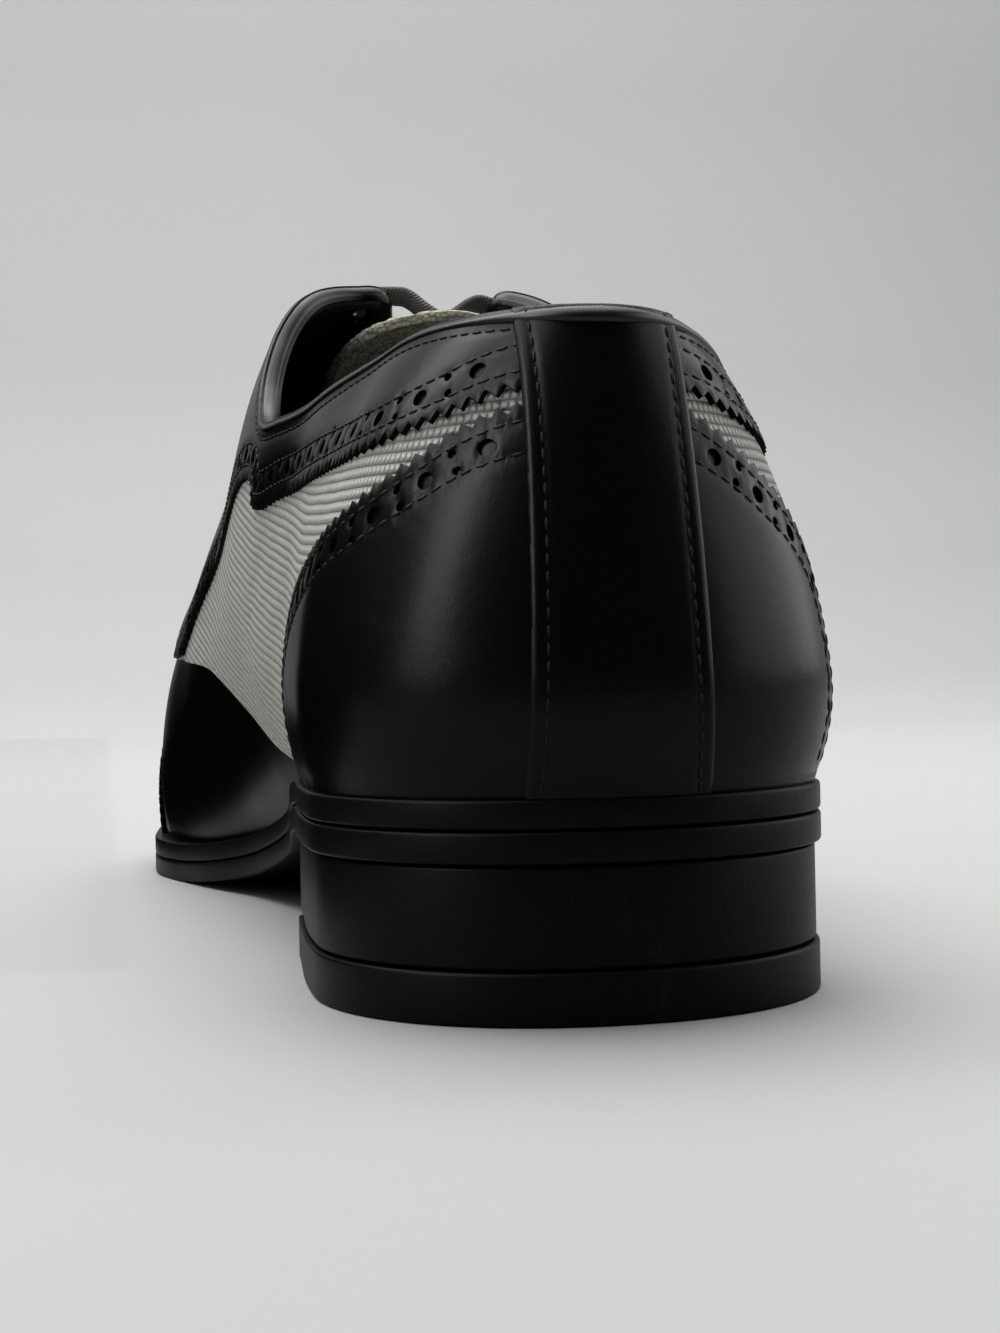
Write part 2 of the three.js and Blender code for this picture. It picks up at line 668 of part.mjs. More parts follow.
// A flat lace laid across the facings from one eyelet of a pair to the other.
function makeLaceBar(pair) {
  const [medial, lateral] = eyeletPlaces().filter((place) => place.pair === pair);
  const over = SEAM_GAP + OVERLAY + SEAM_GAP + LACE_THICKNESS / 2;
  const steps = 10;
  const places = [];
  for (let i = 0; i <= steps; i += 1) {
    const at = medial.point.clone().lerp(lateral.point, i / steps);
    places.push(surfaceAbove(at.x, at.y, over));
  }
  const across = lateral.point.clone().sub(medial.point).normalize();
  const sections = places.map(({ point, normal }) => {
    const up = normal.clone().addScaledVector(across, -normal.dot(across)).normalize();
    const forward = new THREE.Vector3().crossVectors(up, across);
    const corner = (a, b) =>
      point
        .clone()
        .addScaledVector(forward, (a * LACE_WIDTH) / 2)
        .addScaledVector(up, (b * LACE_THICKNESS) / 2);
    return [
      corner(-0.7, 1),
      corner(-1, 0.5),
      corner(-1, -0.5),
      corner(-0.7, -1),
      corner(0.7, -1),
      corner(1, -0.5),
      corner(1, 0.5),
      corner(0.7, 1),
    ];
  });
  const solid = loft(sections);
  return solid.volume() < 0 ? loft(sections.map((ring) => [...ring].reverse())) : solid;
}

function meshOf(name, solid, look) {
  const mesh = solid.getMesh();
  const geometry = new THREE.BufferGeometry();
  geometry.setAttribute("position", new THREE.BufferAttribute(mesh.vertProperties.slice(), 3));
  geometry.setIndex(new THREE.BufferAttribute(mesh.triVerts.slice(), 1));
  geometry.computeVertexNormals();
  const made = new THREE.Mesh(geometry, new THREE.MeshStandardMaterial(look));
  made.name = name;
  return made;
}

const pieces = [
  ["welt", makeWelt(), RUBBER],
  ["outsole", makeOutsole(), RUBBER],
  ["heel_block", makeHeelBlock(), RUBBER],
  ["top_lift", makeTopLift(), RUBBER],
  ["upper", makeUpper(), LEATHER_WHITE],
  ["insole", makeInsole(), LINING],
  ["tongue", makeTongue(), LINING],
  ["back_strip", makeBackStrip(), LEATHER_BLACK],
  ["counter_medial", makeCounter(-1), LEATHER_BLACK],
  ["counter_lateral", makeCounter(1), LEATHER_BLACK],
  ["band_medial", makeBand(-1), LEATHER_BLACK],
  ["band_lateral", makeBand(1), LEATHER_BLACK],
  ["wing_cap", makeWing(), LEATHER_BLACK],
];
for (let pair = 0; pair < EYELET_PAIRS; pair += 1) {
  pieces.push([`lace_bar_${pair + 1}`, makeLaceBar(pair), LACE]);
}

const shoe = new THREE.Group();
for (const [name, solid, look] of pieces) shoe.add(meshOf(name, solid, look));

const box = new THREE.Box3().setFromObject(shoe);
shoe.position.set(-(box.min.x + box.max.x) / 2, -(box.min.y + box.max.y) / 2, -box.min.z);

export default shoe;
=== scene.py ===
# %% [markdown]
# # A spectator shoe, dressed over its CAD model
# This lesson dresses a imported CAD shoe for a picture. The CAD model gives the size, the place of
# each piece and a coarse shape. Here every visible piece is made again from the same last, the
# block that a shoe is built on, as a fine mesh with its own leather, cloth or rubber.
# Everything is worked out in millimetres from the heel, and turned into metres at the end.

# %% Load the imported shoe
import bmesh
import bpy
import math
import numpy as np
from mathutils import Matrix, Vector
from mathutils.geometry import delaunay_2d_cdt
from mathutils.kdtree import KDTree


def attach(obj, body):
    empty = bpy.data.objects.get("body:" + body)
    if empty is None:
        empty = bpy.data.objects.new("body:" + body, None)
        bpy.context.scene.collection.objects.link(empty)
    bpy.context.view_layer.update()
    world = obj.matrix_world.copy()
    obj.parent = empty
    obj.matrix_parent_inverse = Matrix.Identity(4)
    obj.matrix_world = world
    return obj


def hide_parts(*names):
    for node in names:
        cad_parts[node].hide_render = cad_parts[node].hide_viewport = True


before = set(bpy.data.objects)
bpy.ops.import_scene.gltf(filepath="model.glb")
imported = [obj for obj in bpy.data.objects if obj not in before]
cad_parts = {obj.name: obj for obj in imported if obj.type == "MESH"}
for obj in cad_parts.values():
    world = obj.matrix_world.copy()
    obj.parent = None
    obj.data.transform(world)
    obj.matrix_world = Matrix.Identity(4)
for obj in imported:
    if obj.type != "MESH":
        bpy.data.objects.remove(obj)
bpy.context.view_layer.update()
SHIFT = np.array([-1.443, -149.982, 0.0])

# %% [markdown]
# ## The camera
# The photograph was taken from low behind the heel. Its station was fitted to edges of the shoe:
# a place, three turns and a focal length in pixels of a picture 1000 wide. The camera stays at
# that station and turns to face the shoe, which keeps the angle at which the shoe is seen.

# %% Camera at the photograph's station
STATION = (-63.38, -383.79, 44.31)
YAW, PITCH, ROLL = 0.03678, 0.02173, -0.01874
FOCAL = 1149.3
AIM_PIXEL, CENTRE_PIXEL = (687.0, 688.0), (500.0, 666.5)
ENLARGE, SENSOR = 1.72, 36


def photo_axes():
    right = Vector((math.cos(YAW), -math.sin(YAW), 0))
    ahead = Vector((math.sin(YAW), math.cos(YAW), 0))
    up = Vector((0, 0, 1))
    forward = ahead * math.cos(PITCH) + up * math.sin(PITCH)
    lift = up * math.cos(PITCH) - ahead * math.sin(PITCH)
    across = right * math.cos(ROLL) + lift * math.sin(ROLL)
    return across, lift * math.cos(ROLL) - right * math.sin(ROLL), forward


across, lift, forward = photo_axes()
aim_x, aim_y = ((a - c) / FOCAL for a, c in zip(AIM_PIXEL, CENTRE_PIXEL))
aim = forward + across * aim_x - lift * aim_y
turn = forward.rotation_difference(aim.normalized()).to_matrix()
facing = Matrix((turn @ across, turn @ lift, -(turn @ forward))).transposed()
camera_data = bpy.data.cameras.new("camera")
camera_data.sensor_fit = "HORIZONTAL"
camera_data.sensor_width = SENSOR
camera_data.lens = SENSOR * FOCAL * ENLARGE / 1000
camera_data.clip_start = 0.01
camera = bpy.data.objects.new("camera", camera_data)
bpy.context.collection.objects.link(camera)
camera.matrix_world = Matrix.Translation(Vector(STATION) / 1000) @ facing.to_4x4()
bpy.context.scene.camera = camera
print("camera lens, mm:", round(camera_data.lens, 1))

# %% [markdown]
# ## The last
# A shoe's surface is drawn by its last. The tables below are the CAD model's own: the plan of the
# sole, its underside, and the height, lean and fullness of the last along its length. The curves
# are smoothed a little more here than in CAD, because polished leather shows every kink.

# %% Named sizes and smooth curves
LENGTH, HEEL_W, WAIST_W, BALL_W, TOE_W = 302.0, 71.0, 68.0, 106.0, 79.0
HEEL_ROUND, TOE_ROUND, HEEL_SEAT, TOE_SPRING = 34.0, 42.0, 20.0, 11.0
CONE, BALL, TOE = 112.0, 60.0, 42.0
WELT, OUTSOLE, TOP_LIFT, HEEL_BREAST, HEEL_INSET, SEAM = 3.7, 4.0, 6.7, 72.0, 0.9, 0.3
WALL, FEATHER_INSET, TOE_FEATHER_INSET = 2.0, 2.4, 3.6
CURVE_STEPS = 4001


def smooth_curve(rows, column, soften=0.012):
    x = np.array([row[0] for row in rows], float)
    f = np.array([row[column] for row in rows], float)
    chord = np.diff(f) / np.diff(x)
    slope = np.zeros_like(x)
    slope[0], slope[-1] = chord[0], chord[-1]
    for i in range(1, len(x) - 1):
        a, b = chord[i - 1], chord[i]
        slope[i] = 0 if a * b <= 0 else 2 * a * b / (a + b)
    at = np.linspace(0, 1, CURVE_STEPS)
    i = np.clip(np.searchsorted(x, at, side="right") - 1, 0, len(x) - 2)
    run = x[i + 1] - x[i]
    t = (at - x[i]) / run
    s = 1 - t
    value = (s * s * (1 + 2 * t) * f[i] + t * s * s * run * slope[i]
             + t * t * (1 + 2 * s) * f[i + 1] - t * t * s * run * slope[i + 1])
    reach = int(CURVE_STEPS * soften * 3)
    kernel = np.exp(-0.5 * (np.arange(-reach, reach + 1) / (CURVE_STEPS * soften)) ** 2)
    head = 2 * value[0] - value[1:reach + 1][::-1]
    tail = 2 * value[-1] - value[-reach - 1:-1][::-1]
    value = np.convolve(np.concatenate([head, value, tail]), kernel / kernel.sum(), "valid")
    return lambda p: np.interp(p, at, value)


PLAN = [
    (0.0, 0.98 * HEEL_W, 0), (0.13, HEEL_W, 0), (0.25, 0.96 * HEEL_W, 0.005 * BALL_W),
    (0.4, WAIST_W, 0.035 * BALL_W), (0.5, 1.12 * WAIST_W, 0.04 * BALL_W),
    (0.6, 0.88 * BALL_W, 0.025 * BALL_W), (0.7, BALL_W, 0.015 * BALL_W),
    (0.78, 0.965 * BALL_W, 0.01 * BALL_W), (0.87, 1.08 * TOE_W, 0.015 * BALL_W),
    (1.0, 0.84 * TOE_W, 0.02 * BALL_W),
]
UNDERSIDE = [
    (0.0, 1, 0), (0.2, 1, 0), (0.27, 0.93, 0), (0.4, 0.58, 0), (0.52, 0.2, 0), (0.6, 0.04, 0),
    (0.65, 0, 0), (0.75, 0, 0), (0.83, 0, 0.16), (0.92, 0, 0.52), (1.0, 0, 1),
]
LAST = [
    (0.0, 0.94 * CONE, 0, 2.4, 1.0, 1.0, 3.4, 3.4),
    (0.12, 0.98 * CONE, 0, 2.4, 1.1, 1.05, 2.7, 3.4),
    (0.24, 1.04 * CONE, 0.01 * BALL_W, 2.5, 2.0, 1.6, 3.0, 3.4),
    (0.34, 1.08 * CONE, 0.025 * BALL_W, 2.8, 2.9, 2.1, 9.0, 4.0),
    (0.42, 1.06 * CONE, 0.045 * BALL_W, 3.0, 3.0, 2.3, 12.0, 4.0),
    (0.5, 0.92 * CONE, 0.06 * BALL_W, 3.0, 3.1, 2.2, 10.0, 3.5),
    (0.6, 0.69 * CONE, 0.08 * BALL_W, 3.1, 3.2, 2.2, 5.0, 2.5),
    (0.7, 1.06 * BALL, 0.085 * BALL_W, 3.0, 3.1, 2.2, 1.5, 1.2),
    (0.8, 0.89 * BALL, 0.07 * BALL_W, 2.7, 2.8, 2.3, 0.8, 0.8),
    (0.92, 1.02 * TOE, 0.04 * BALL_W, 2.3, 2.4, 2.3, 0.6, 0.6),
    (1.0, 0.95 * TOE, 0.02 * BALL_W, 2.2, 2.3, 2.3, 0.6, 0.6),
]
SWELL_HEIGHT = [(0.0, 15), (0.24, 17), (0.42, 42), (0.55, 36), (0.7, 18), (1.0, 14)]
SPINE_REAR, SPINE_FRONT = 16.0, 26.0

plan_width, plan_swing = smooth_curve(PLAN, 1), smooth_curve(PLAN, 2)
heel_share, spring_share = smooth_curve(UNDERSIDE, 1), smooth_curve(UNDERSIDE, 2)
ridge_height, ridge_lean, wall_full = (smooth_curve(LAST, c) for c in (1, 2, 3))
shoulder_in, shoulder_out = smooth_curve(LAST, 4), smooth_curve(LAST, 5)
swell_in, swell_out = smooth_curve(LAST, 6), smooth_curve(LAST, 7)
swell_height = smooth_curve(SWELL_HEIGHT, 1)


def underside(y):
    return HEEL_SEAT * heel_share(y / LENGTH) + TOE_SPRING * spring_share(y / LENGTH)


def feather(y):
    return underside(y) + OUTSOLE + SEAM + WELT


print("feather line at heel, ball and toe, mm:", [round(float(feather(y)), 1) for y in (0, 205, 302)])

# %% [markdown]
# A place on the last is given by two numbers. The first, u, runs from 0 at the back seam to 1 at
# the toe on the lateral side and to -1 on the medial side. The second, v, climbs from 0 at the
# sole to 1 on the ridge. Past the toe or the ridge they fold over to the other side, so slopes
# and normals can be measured everywhere with small steps.

# %% Points, normals and steps on the last
RIDGE_POWER = 2.2


def outline(s, side):
    y = LENGTH * (1 - np.cos(np.pi * s)) / 2
    heel = (1 - (1 - np.clip(y / HEEL_ROUND, 0, 1)) ** 2.15) ** (1 / 2.15)
    toe = (1 - (1 - np.clip((LENGTH - y) / TOE_ROUND, 0, 1)) ** 2.2) ** (1 / 2.2)
    half = plan_width(y / LENGTH) / 2 * heel * toe
    return plan_swing(y / LENGTH) + side * half, y


def outline_normal(s, side):
    step = 1e-3
    xa, ya = outline(np.minimum(1, s + step), side)
    xb, yb = outline(np.maximum(0, s - step), side)
    dx, dy = np.where(s < step, 0, xa - xb), ya - yb
    dx = np.where(s < step, side * 1.0, np.where(s > 1 - step, -side * 1.0, dx))
    dy = np.where((s < step) | (s > 1 - step), 0, dy)
    size = np.hypot(dx, dy)
    return side * dy / size, -side * dx / size


def last_point(u, v):
    u, v = np.broadcast_arrays(np.asarray(u, float), np.asarray(v, float))
    over = v > 1
    u = np.where(over, -u, u)
    v = np.where(over, 2 - v, v)
    side = np.where(u >= 0, 1.0, -1.0)
    s = np.abs(u)
    past = s > 1
    side = np.where(past, -side, side)
    s = np.clip(np.where(past, 2 - s, s), 0, 1)
    h = 1 - (1 - np.clip(v, 0, 1)) ** RIDGE_POWER
    ex, ey = outline(s, side)
    at = ey / LENGTH
    nx, ny = outline_normal(s, side)
    inset = FEATHER_INSET + (TOE_FEATHER_INSET - FEATHER_INSET) * at ** 3
    spine_y = SPINE_REAR + (LENGTH - SPINE_REAR - SPINE_FRONT) * at
    spine_x = plan_swing(spine_y / LENGTH) - ridge_lean(spine_y / LENGTH)
    foot = feather(ey) + SEAM
    rise = (ridge_height(spine_y / LENGTH) - foot) * h
    shoulder = np.where(side < 0, shoulder_in(at), shoulder_out(at))
    swell = np.where(side < 0, swell_in(at), swell_out(at))
    keep = np.maximum(0, 1 - h ** wall_full(at)) ** (1 / shoulder)
    low = 1 - np.minimum(1, rise / swell_height(at))
    out = swell * (1 - low * low) - inset
    x = spine_x + (ex + nx * out - spine_x) * keep
    y = spine_y + (ey + ny * out - spine_y) * keep
    return np.stack([x, y, foot + rise], -1)


def last_slopes(u, v):
    du, dv = 1.5e-3, 1.5e-3
    along = (last_point(u + du, v) - last_point(u - du, v)) / (2 * du)
    low = np.maximum(0, v - dv)
    up = (last_point(u, v + dv) - last_point(u, low)) / (v + dv - low)[..., None]
    return along, up


def last_normal(u, v):
    u, v = np.broadcast_arrays(np.asarray(u, float), np.asarray(v, float))
    along, up = last_slopes(u, v)
    normal = np.cross(along, up)
    normal[..., 2] *= np.clip(v / 0.02, 0, 1)
    size = np.linalg.norm(normal, axis=-1, keepdims=True)
    return normal / np.maximum(size, 1e-9)


def on_last(u, v, offset):
    offset = np.asarray(offset, float)
    return last_point(u, v) + last_normal(u, v) * (offset[..., None] if offset.ndim else offset)


def step_on_last(u, v, move):
    along, up = last_slopes(u, v)
    a, b, c = (along * along).sum(-1), (along * up).sum(-1), (up * up).sum(-1)
    p, q = (along * move).sum(-1), (up * move).sum(-1)
    det = a * c - b * b
    return u + (c * p - b * q) / det, v + (a * q - b * p) / det


probe = on_last(np.array([0.0, 0.5, -0.5]), np.array([0.3, 0.3, 0.3]), 0)
print("three places on the last, mm:", probe.round(1).tolist())

# %% [markdown]
# ## Lines on the last
# A pattern cutter draws seams on the last. Here a seam is drawn in the side view or in plan, as a
# few points in millimetres, and each point is then found on the surface by Newton's method. The
# line that comes back has even steps, so teeth, holes and stitches can be set out along it.

# %% Seams found on the surface
def run_along(points):
    """The length travelled to each point of a line."""
    return np.concatenate([[0], np.cumsum(np.linalg.norm(np.diff(points, axis=0), axis=1))])


def smooth_line(points, steps=24):
    p = np.array(points, float)
    p = np.vstack([2 * p[0] - p[1], p, 2 * p[-1] - p[-2]])
    out = []
    for i in range(1, len(p) - 2):
        knots = np.cumsum([0] + [np.linalg.norm(p[i + k] - p[i + k - 1]) ** 0.5 for k in range(3)])
        a, b, c, d = p[i - 1], p[i], p[i + 1], p[i + 2]
        k0, k1, k2, k3 = knots
        for t in np.linspace(k1, k2, steps, endpoint=False):
            ab = (k1 - t) / (k1 - k0) * a + (t - k0) / (k1 - k0) * b
            bc = (k2 - t) / (k2 - k1) * b + (t - k1) / (k2 - k1) * c
            cd = (k3 - t) / (k3 - k2) * c + (t - k2) / (k3 - k2) * d
            abc = (k2 - t) / (k2 - k0) * ab + (t - k0) / (k2 - k0) * bc
            bcd = (k3 - t) / (k3 - k1) * bc + (t - k1) / (k3 - k1) * cd
            out.append((k2 - t) / (k2 - k1) * abc + (t - k1) / (k2 - k1) * bcd)
    out.append(p[-2])
    return np.array(out)


seed_u = np.linspace(0, 1, 121)
seed_v = np.linspace(0, 1.7, 103)


def find_on_last(targets, side, axes, low_v=0.0, high_v=1.0, high_s=1.0):
    targets = np.asarray(targets, float)
    use = seed_v[(seed_v >= low_v) & (seed_v <= high_v)]
    grid_u, grid_v = np.meshgrid(seed_u[seed_u <= high_s], use, indexing="ij")
    grid = last_point(side * grid_u, grid_v)[..., axes].reshape(-1, 2)
    nearest = np.array([((grid - t) ** 2).sum(1).argmin() for t in targets])
    s, v = grid_u.reshape(-1)[nearest].copy(), grid_v.reshape(-1)[nearest].copy()
    for _ in range(24):
        here = last_point(side * s, v)[:, axes]
        e = targets - here
        ds, dv = 4e-4, 4e-4
        fs = (last_point(side * (s + ds), v)[:, axes] - here) / ds
        fv = (last_point(side * s, v + dv)[:, axes] - here) / dv
        a = (fs * fs).sum(1) + 1e-2
        b = (fs * fv).sum(1)
        c = (fv * fv).sum(1) + 1e-2
        p, q = (fs * e).sum(1), (fv * e).sum(1)
        det = a * c - b * b
        s = np.clip(s + np.clip((c * p - b * q) / det, -0.05, 0.05), 0, 1)
        v = np.clip(v + np.clip((a * q - b * p) / det, -0.05, 0.05), 0, high_v)
    gap = np.linalg.norm(last_point(side * s, v)[:, axes] - targets, axis=1)
    return s, v, gap


def even_line(u, v, spacing):
    p = last_point(u, v)
    run = run_along(p)
    count = max(2, int(round(run[-1] / spacing)) + 1)
    at = np.linspace(0, run[-1], count)
    return np.interp(at, run, u), np.interp(at, run, v)


def seam(points, side, axes=(1, 2), spacing=0.5, low_v=0.0, from_back=False):
    dense = smooth_line(points)
    run = run_along(dense)
    at = np.arange(0, run[-1], 0.25)
    targets = np.stack([np.interp(at, run, dense[:, k]) for k in range(2)], -1)
    s, v, gap = find_on_last(targets, side, list(axes), low_v)
    good = gap < 0.08
    s, v = s[good], v[good]
    if from_back:
        keep = s > 0.03
        s, v = s[keep], v[keep]
        b = min(6, len(s) - 1)
        back = v[0] - (v[b] - v[0]) * s[0] ** 2 / (s[b] ** 2 - s[0] ** 2)
        fill = np.linspace(0, s[0], 12, endpoint=False)
        v = np.concatenate([back + (v[0] - back) * (fill / s[0]) ** 2, v])
        s = np.concatenate([fill, s])
    return even_line(side * s, v, spacing)


COLLAR_BACK, COLLAR_DIP, COLLAR_DIP_OUT, FACING_TOP, FACING_FRONT = 89.0, 85.5, 77.0, 115.0, 134.0
THROAT_END, THROAT_W = 186.0, 13.0
TOPLINE = [
    (-6, COLLAR_BACK + 1, COLLAR_BACK + 1),
    (8, COLLAR_BACK, COLLAR_BACK),
    (0.1 * LENGTH, COLLAR_BACK, 0.6 * COLLAR_BACK + 0.4 * COLLAR_DIP_OUT),
    (0.2 * LENGTH, 0.3 * COLLAR_BACK + 0.7 * COLLAR_DIP, COLLAR_DIP_OUT),
    (0.29 * LENGTH, COLLAR_DIP, COLLAR_DIP_OUT),
    (0.335 * LENGTH, COLLAR_DIP + 1, 0.88 * COLLAR_DIP_OUT + 0.12 * FACING_TOP),
    (0.365 * LENGTH, COLLAR_DIP + 0.25 * (FACING_TOP - COLLAR_DIP),
     0.6 * COLLAR_DIP_OUT + 0.4 * FACING_TOP),
    (0.39 * LENGTH, COLLAR_DIP + 0.56 * (FACING_TOP - COLLAR_DIP),
     0.35 * COLLAR_DIP_OUT + 0.65 * FACING_TOP),
    (FACING_FRONT - 9, COLLAR_DIP + 0.85 * (FACING_TOP - COLLAR_DIP),
     0.12 * COLLAR_DIP_OUT + 0.88 * FACING_TOP),
    (FACING_FRONT, FACING_TOP, FACING_TOP),
    (FACING_FRONT + 10, FACING_TOP, FACING_TOP),
]
throat_x = float(plan_swing(THROAT_END / LENGTH))
MEDIAL, LATERAL = -1, 1


THROAT_SPREAD = {MEDIAL: 4.4, LATERAL: 3.0}


def throat_line(side, rear, front, spacing=0.5):
    y = np.arange(rear, front, 0.25)
    half = THROAT_W / 2 + THROAT_SPREAD[side] * np.clip((166 - y) / 34, 0, 1.2) ** 1.4
    targets = np.stack([throat_x + side * half, y], -1)
    s, v, gap = find_on_last(targets, side, [0, 1], 0.35, 1.4)
    good = gap < 0.08
    return even_line(side * s[good], v[good], spacing)


def meet(a, b):
    """The first place where line b comes closest to line a: indices into both."""
    pa, pb = last_point(*a), last_point(*b)
    gap = np.linalg.norm(pa[:, None] - pb[None], axis=-1)
    return np.unravel_index(gap.argmin(), gap.shape)


rim_line = {}
throat_edge = {}
for side, column in ((MEDIAL, 1), (LATERAL, 2)):
    top = seam([(row[0], row[column]) for row in TOPLINE], side, from_back=True, spacing=0.4)
    edge = throat_line(side, 116, THROAT_END - THROAT_W / 2, 0.4)
    i, k = meet(top, edge)
    corner = last_point(edge[0][k], edge[1][k]).round(1)
    cut = 8
    t = np.linspace(0, 1, 16)
    bend = [(1 - t) ** 2 * top[j][i - cut] + 2 * t * (1 - t) * edge[j][k] + t * t * edge[j][k + cut]
            for j in (0, 1)]
    rim_line[side] = tuple(np.concatenate([top[j][:i - cut], bend[j][:8]]) for j in (0, 1))
    throat_edge[side] = tuple(np.concatenate([bend[j][8:], edge[j][k + cut + 1:]]) for j in (0, 1))
    print("rim", side, "points", i, "meets the throat at", corner.tolist())

# %% [markdown]
# ## Creases placed one by one
# A worn shoe bends across the vamp, sags at the ankle and dents at the heel. A sculpt brush could
# draw this. Here each crease is a line on the last, with a half width and a depth, and every panel
# above it is moved by the same soft trough or ridge.

# %% Creases as soft troughs and ridges
CREASES = []
for side, reach in ((MEDIAL, 31), (LATERAL, 33)):
    for y, half, height in ((200, 3.0, -0.5), (208, 2.6, 0.3), (216, 3.2, -0.42)):
        across = [(throat_x + side * share * reach, y - drop)
                  for share, drop in ((0.02, 0), (0.5, 1), (1, 5))]
        CREASES.append((last_point(*seam(across, side, axes=(0, 1), low_v=0.35)), half, height))
for side, path, half, height in (
    (LATERAL, [(27, 66), (25, 55), (24, 44)], 5.0, -0.6),
    (LATERAL, [(92, 63), (101, 55), (112, 46)], 4.5, -0.5),
    (LATERAL, [(106, 66), (114, 58), (122, 50)], 4.0, 0.3),
    (MEDIAL, [(92, 68), (99, 57), (108, 48)], 4.5, -0.5),
    (MEDIAL, [(78, 64), (84, 53), (92, 44)], 4.0, 0.3),
    (MEDIAL, [(10, 70), (14, 58), (15, 48)], 6.0, -0.3),
):
    CREASES.append((last_point(*seam(path, side)), half, height))


def creases(points):
    """How far each point moves along its normal, in millimetres."""
    total = np.zeros(len(points))
    for line, half, height in CREASES:
        line = line[::6]
        gap = np.linalg.norm(points[:, None] - line[None], axis=2)
        along = (gap.argmin(1) + 1) / (len(line) + 1)
        total += height * np.sin(np.pi * along) ** 0.6 * np.exp(-(gap.min(1) / half) ** 2)
    return total


print("creases:", len(CREASES))

# %% [markdown]
# ## Panels cut from the last
# A leather panel could be modelled by hand and pressed on with Shrinkwrap, but a pinked edge and
# rows of small holes need exact outlines. Here a panel is a polygon in u and v, cut up by a
# Delaunay triangulation, lifted onto the last and given a thickness. Its edge and the rims of
# its holes are pressed down a little, as a knife and a punch leave them.

# %% A panel from its outline, holes and stitch grooves
QUARTER_TOP = 0.55
OVERLAY_TOP = 1.5
FLAT = np.array([474.0, 105.0])


def tangent_frame(u, v):
    along = np.gradient(last_point(u, v), axis=0)
    along /= np.maximum(np.linalg.norm(along, axis=1, keepdims=True), 1e-9)
    normal = last_normal(u, v)
    return along, normal, np.cross(along, normal)


def aside(line, side, distance):
    """The same line moved on the surface: below where it runs forward, back where it runs down."""
    u, v = line
    _, _, out = tangent_frame(u, v)
    return step_on_last(u, v, out * side * distance)


def pinked(line, side, pitch, depth):
    """The same line cut into teeth, as pinking shears leave it."""
    u, v = even_line(*line, pitch / 8)
    wave = np.abs((np.arange(len(u)) / 8 % 1) * 2 - 1)
    wave = 0.7 * wave + 0.3 * (0.5 - 0.5 * np.cos(np.pi * wave))
    _, _, out = tangent_frame(u, v)
    return step_on_last(u, v, out * side * (depth * wave)[:, None])


def ring_on_last(u, v, radius, count):
    turn = np.arange(count) * 2 * np.pi / count
    u, v = np.full(count, float(u)), np.full(count, float(v))
    along, up = last_slopes(u, v)
    along = along / np.linalg.norm(along, axis=1, keepdims=True)
    up = np.cross(last_normal(u, v), along)
    move = along * (np.cos(turn) * radius)[:, None] + up * (np.sin(turn) * radius)[:, None]
    return np.stack(step_on_last(u, v, move), -1)


def inside(points, loop):
    x, y = points[:, 0][:, None], points[:, 1][:, None]
    ax, ay = loop[:, 0][None], loop[:, 1][None]
    bx, by = np.roll(loop[:, 0], -1)[None], np.roll(loop[:, 1], -1)[None]
    result = np.zeros(len(points), bool)
    for start in range(0, len(points), 4000):
        cut = slice(start, start + 4000)
        crosses = (ay > y[cut]) != (by > y[cut])
        with np.errstate(divide="ignore", invalid="ignore"):
            at = (bx - ax) * (y[cut] - ay) / (by - ay) + ax
        result[cut] = (crosses & (x[cut] < at)).sum(1) % 2 == 1
    return result


def nearest_gap(points, others):
    tree = KDTree(len(others))
    for i, p in enumerate(others):
        tree.insert(p, i)
    tree.balance()
    return np.array([tree.find(p)[2] for p in points])


def clean_loop(loop):
    loop = np.asarray(loop, float)
    step = np.linalg.norm((loop - np.roll(loop, 1, 0)) * FLAT, axis=1)
    loop = loop[step > 0.02]
    area = (loop[:, 0] * np.roll(loop[:, 1], -1) - np.roll(loop[:, 0], -1) * loop[:, 1]).sum()
    return loop if area > 0 else loop[::-1]


def mesh_object(name, verts, faces, smooth_angle=38, uv=None, kinds=None):
    mesh = bpy.data.meshes.new(name)
    mesh.from_pydata([tuple(p) for p in (np.asarray(verts) + SHIFT) / 1000], [], faces)
    if kinds is not None:
        mesh.polygons.foreach_set("material_index", kinds)
    mesh.validate()
    mesh.update()
    if uv is not None:
        layer = mesh.uv_layers.new(name="UVMap")
        index = np.zeros(len(mesh.loops), int)
        mesh.loops.foreach_get("vertex_index", index)
        layer.data.foreach_set("uv", np.asarray(uv, float)[index].ravel())
    mesh.polygons.foreach_set("use_smooth", [True] * len(mesh.polygons))
    mesh.set_sharp_from_angle(angle=math.radians(smooth_angle))
    made = bpy.data.objects.new(name, mesh)
    bpy.context.collection.objects.link(made)
    print(f"{name}: {len(mesh.polygons)} faces")
    return made


def weld(obj, distance=2e-6):
    bm = bmesh.new()
    bm.from_mesh(obj.data)
    bmesh.ops.remove_doubles(bm, verts=bm.verts, dist=distance)
    bm.to_mesh(obj.data)
    bm.free()
    obj.data.set_sharp_from_angle(angle=math.radians(38))
    return obj


def outward(obj, merge=0.0):
    """Turn all faces outward, and where merge is given drop faces without area first."""
    bm = bmesh.new()
    bm.from_mesh(obj.data)
    if merge:
        bmesh.ops.dissolve_degenerate(bm, dist=merge, edges=bm.edges)
    bmesh.ops.recalc_face_normals(bm, faces=bm.faces)
    bm.to_mesh(obj.data)
    bm.free()
    return obj

arc_s = np.linspace(-1, 1, 801)
arc_run = run_along(last_point(arc_s, np.full(801, 0.35)))
arc_run -= arc_run[400]


def cloth_uv(u, v, points):
    """Millimetres / 10 along the side and up it; the rows climb a little towards the front."""
    run = np.interp(u, arc_s, arc_run)
    past = np.abs(run) - 70
    climb = 0.13 * (past + np.sqrt(past ** 2 + 900))
    return np.stack([run / 10, (points[:, 2] - climb) / 10], -1)


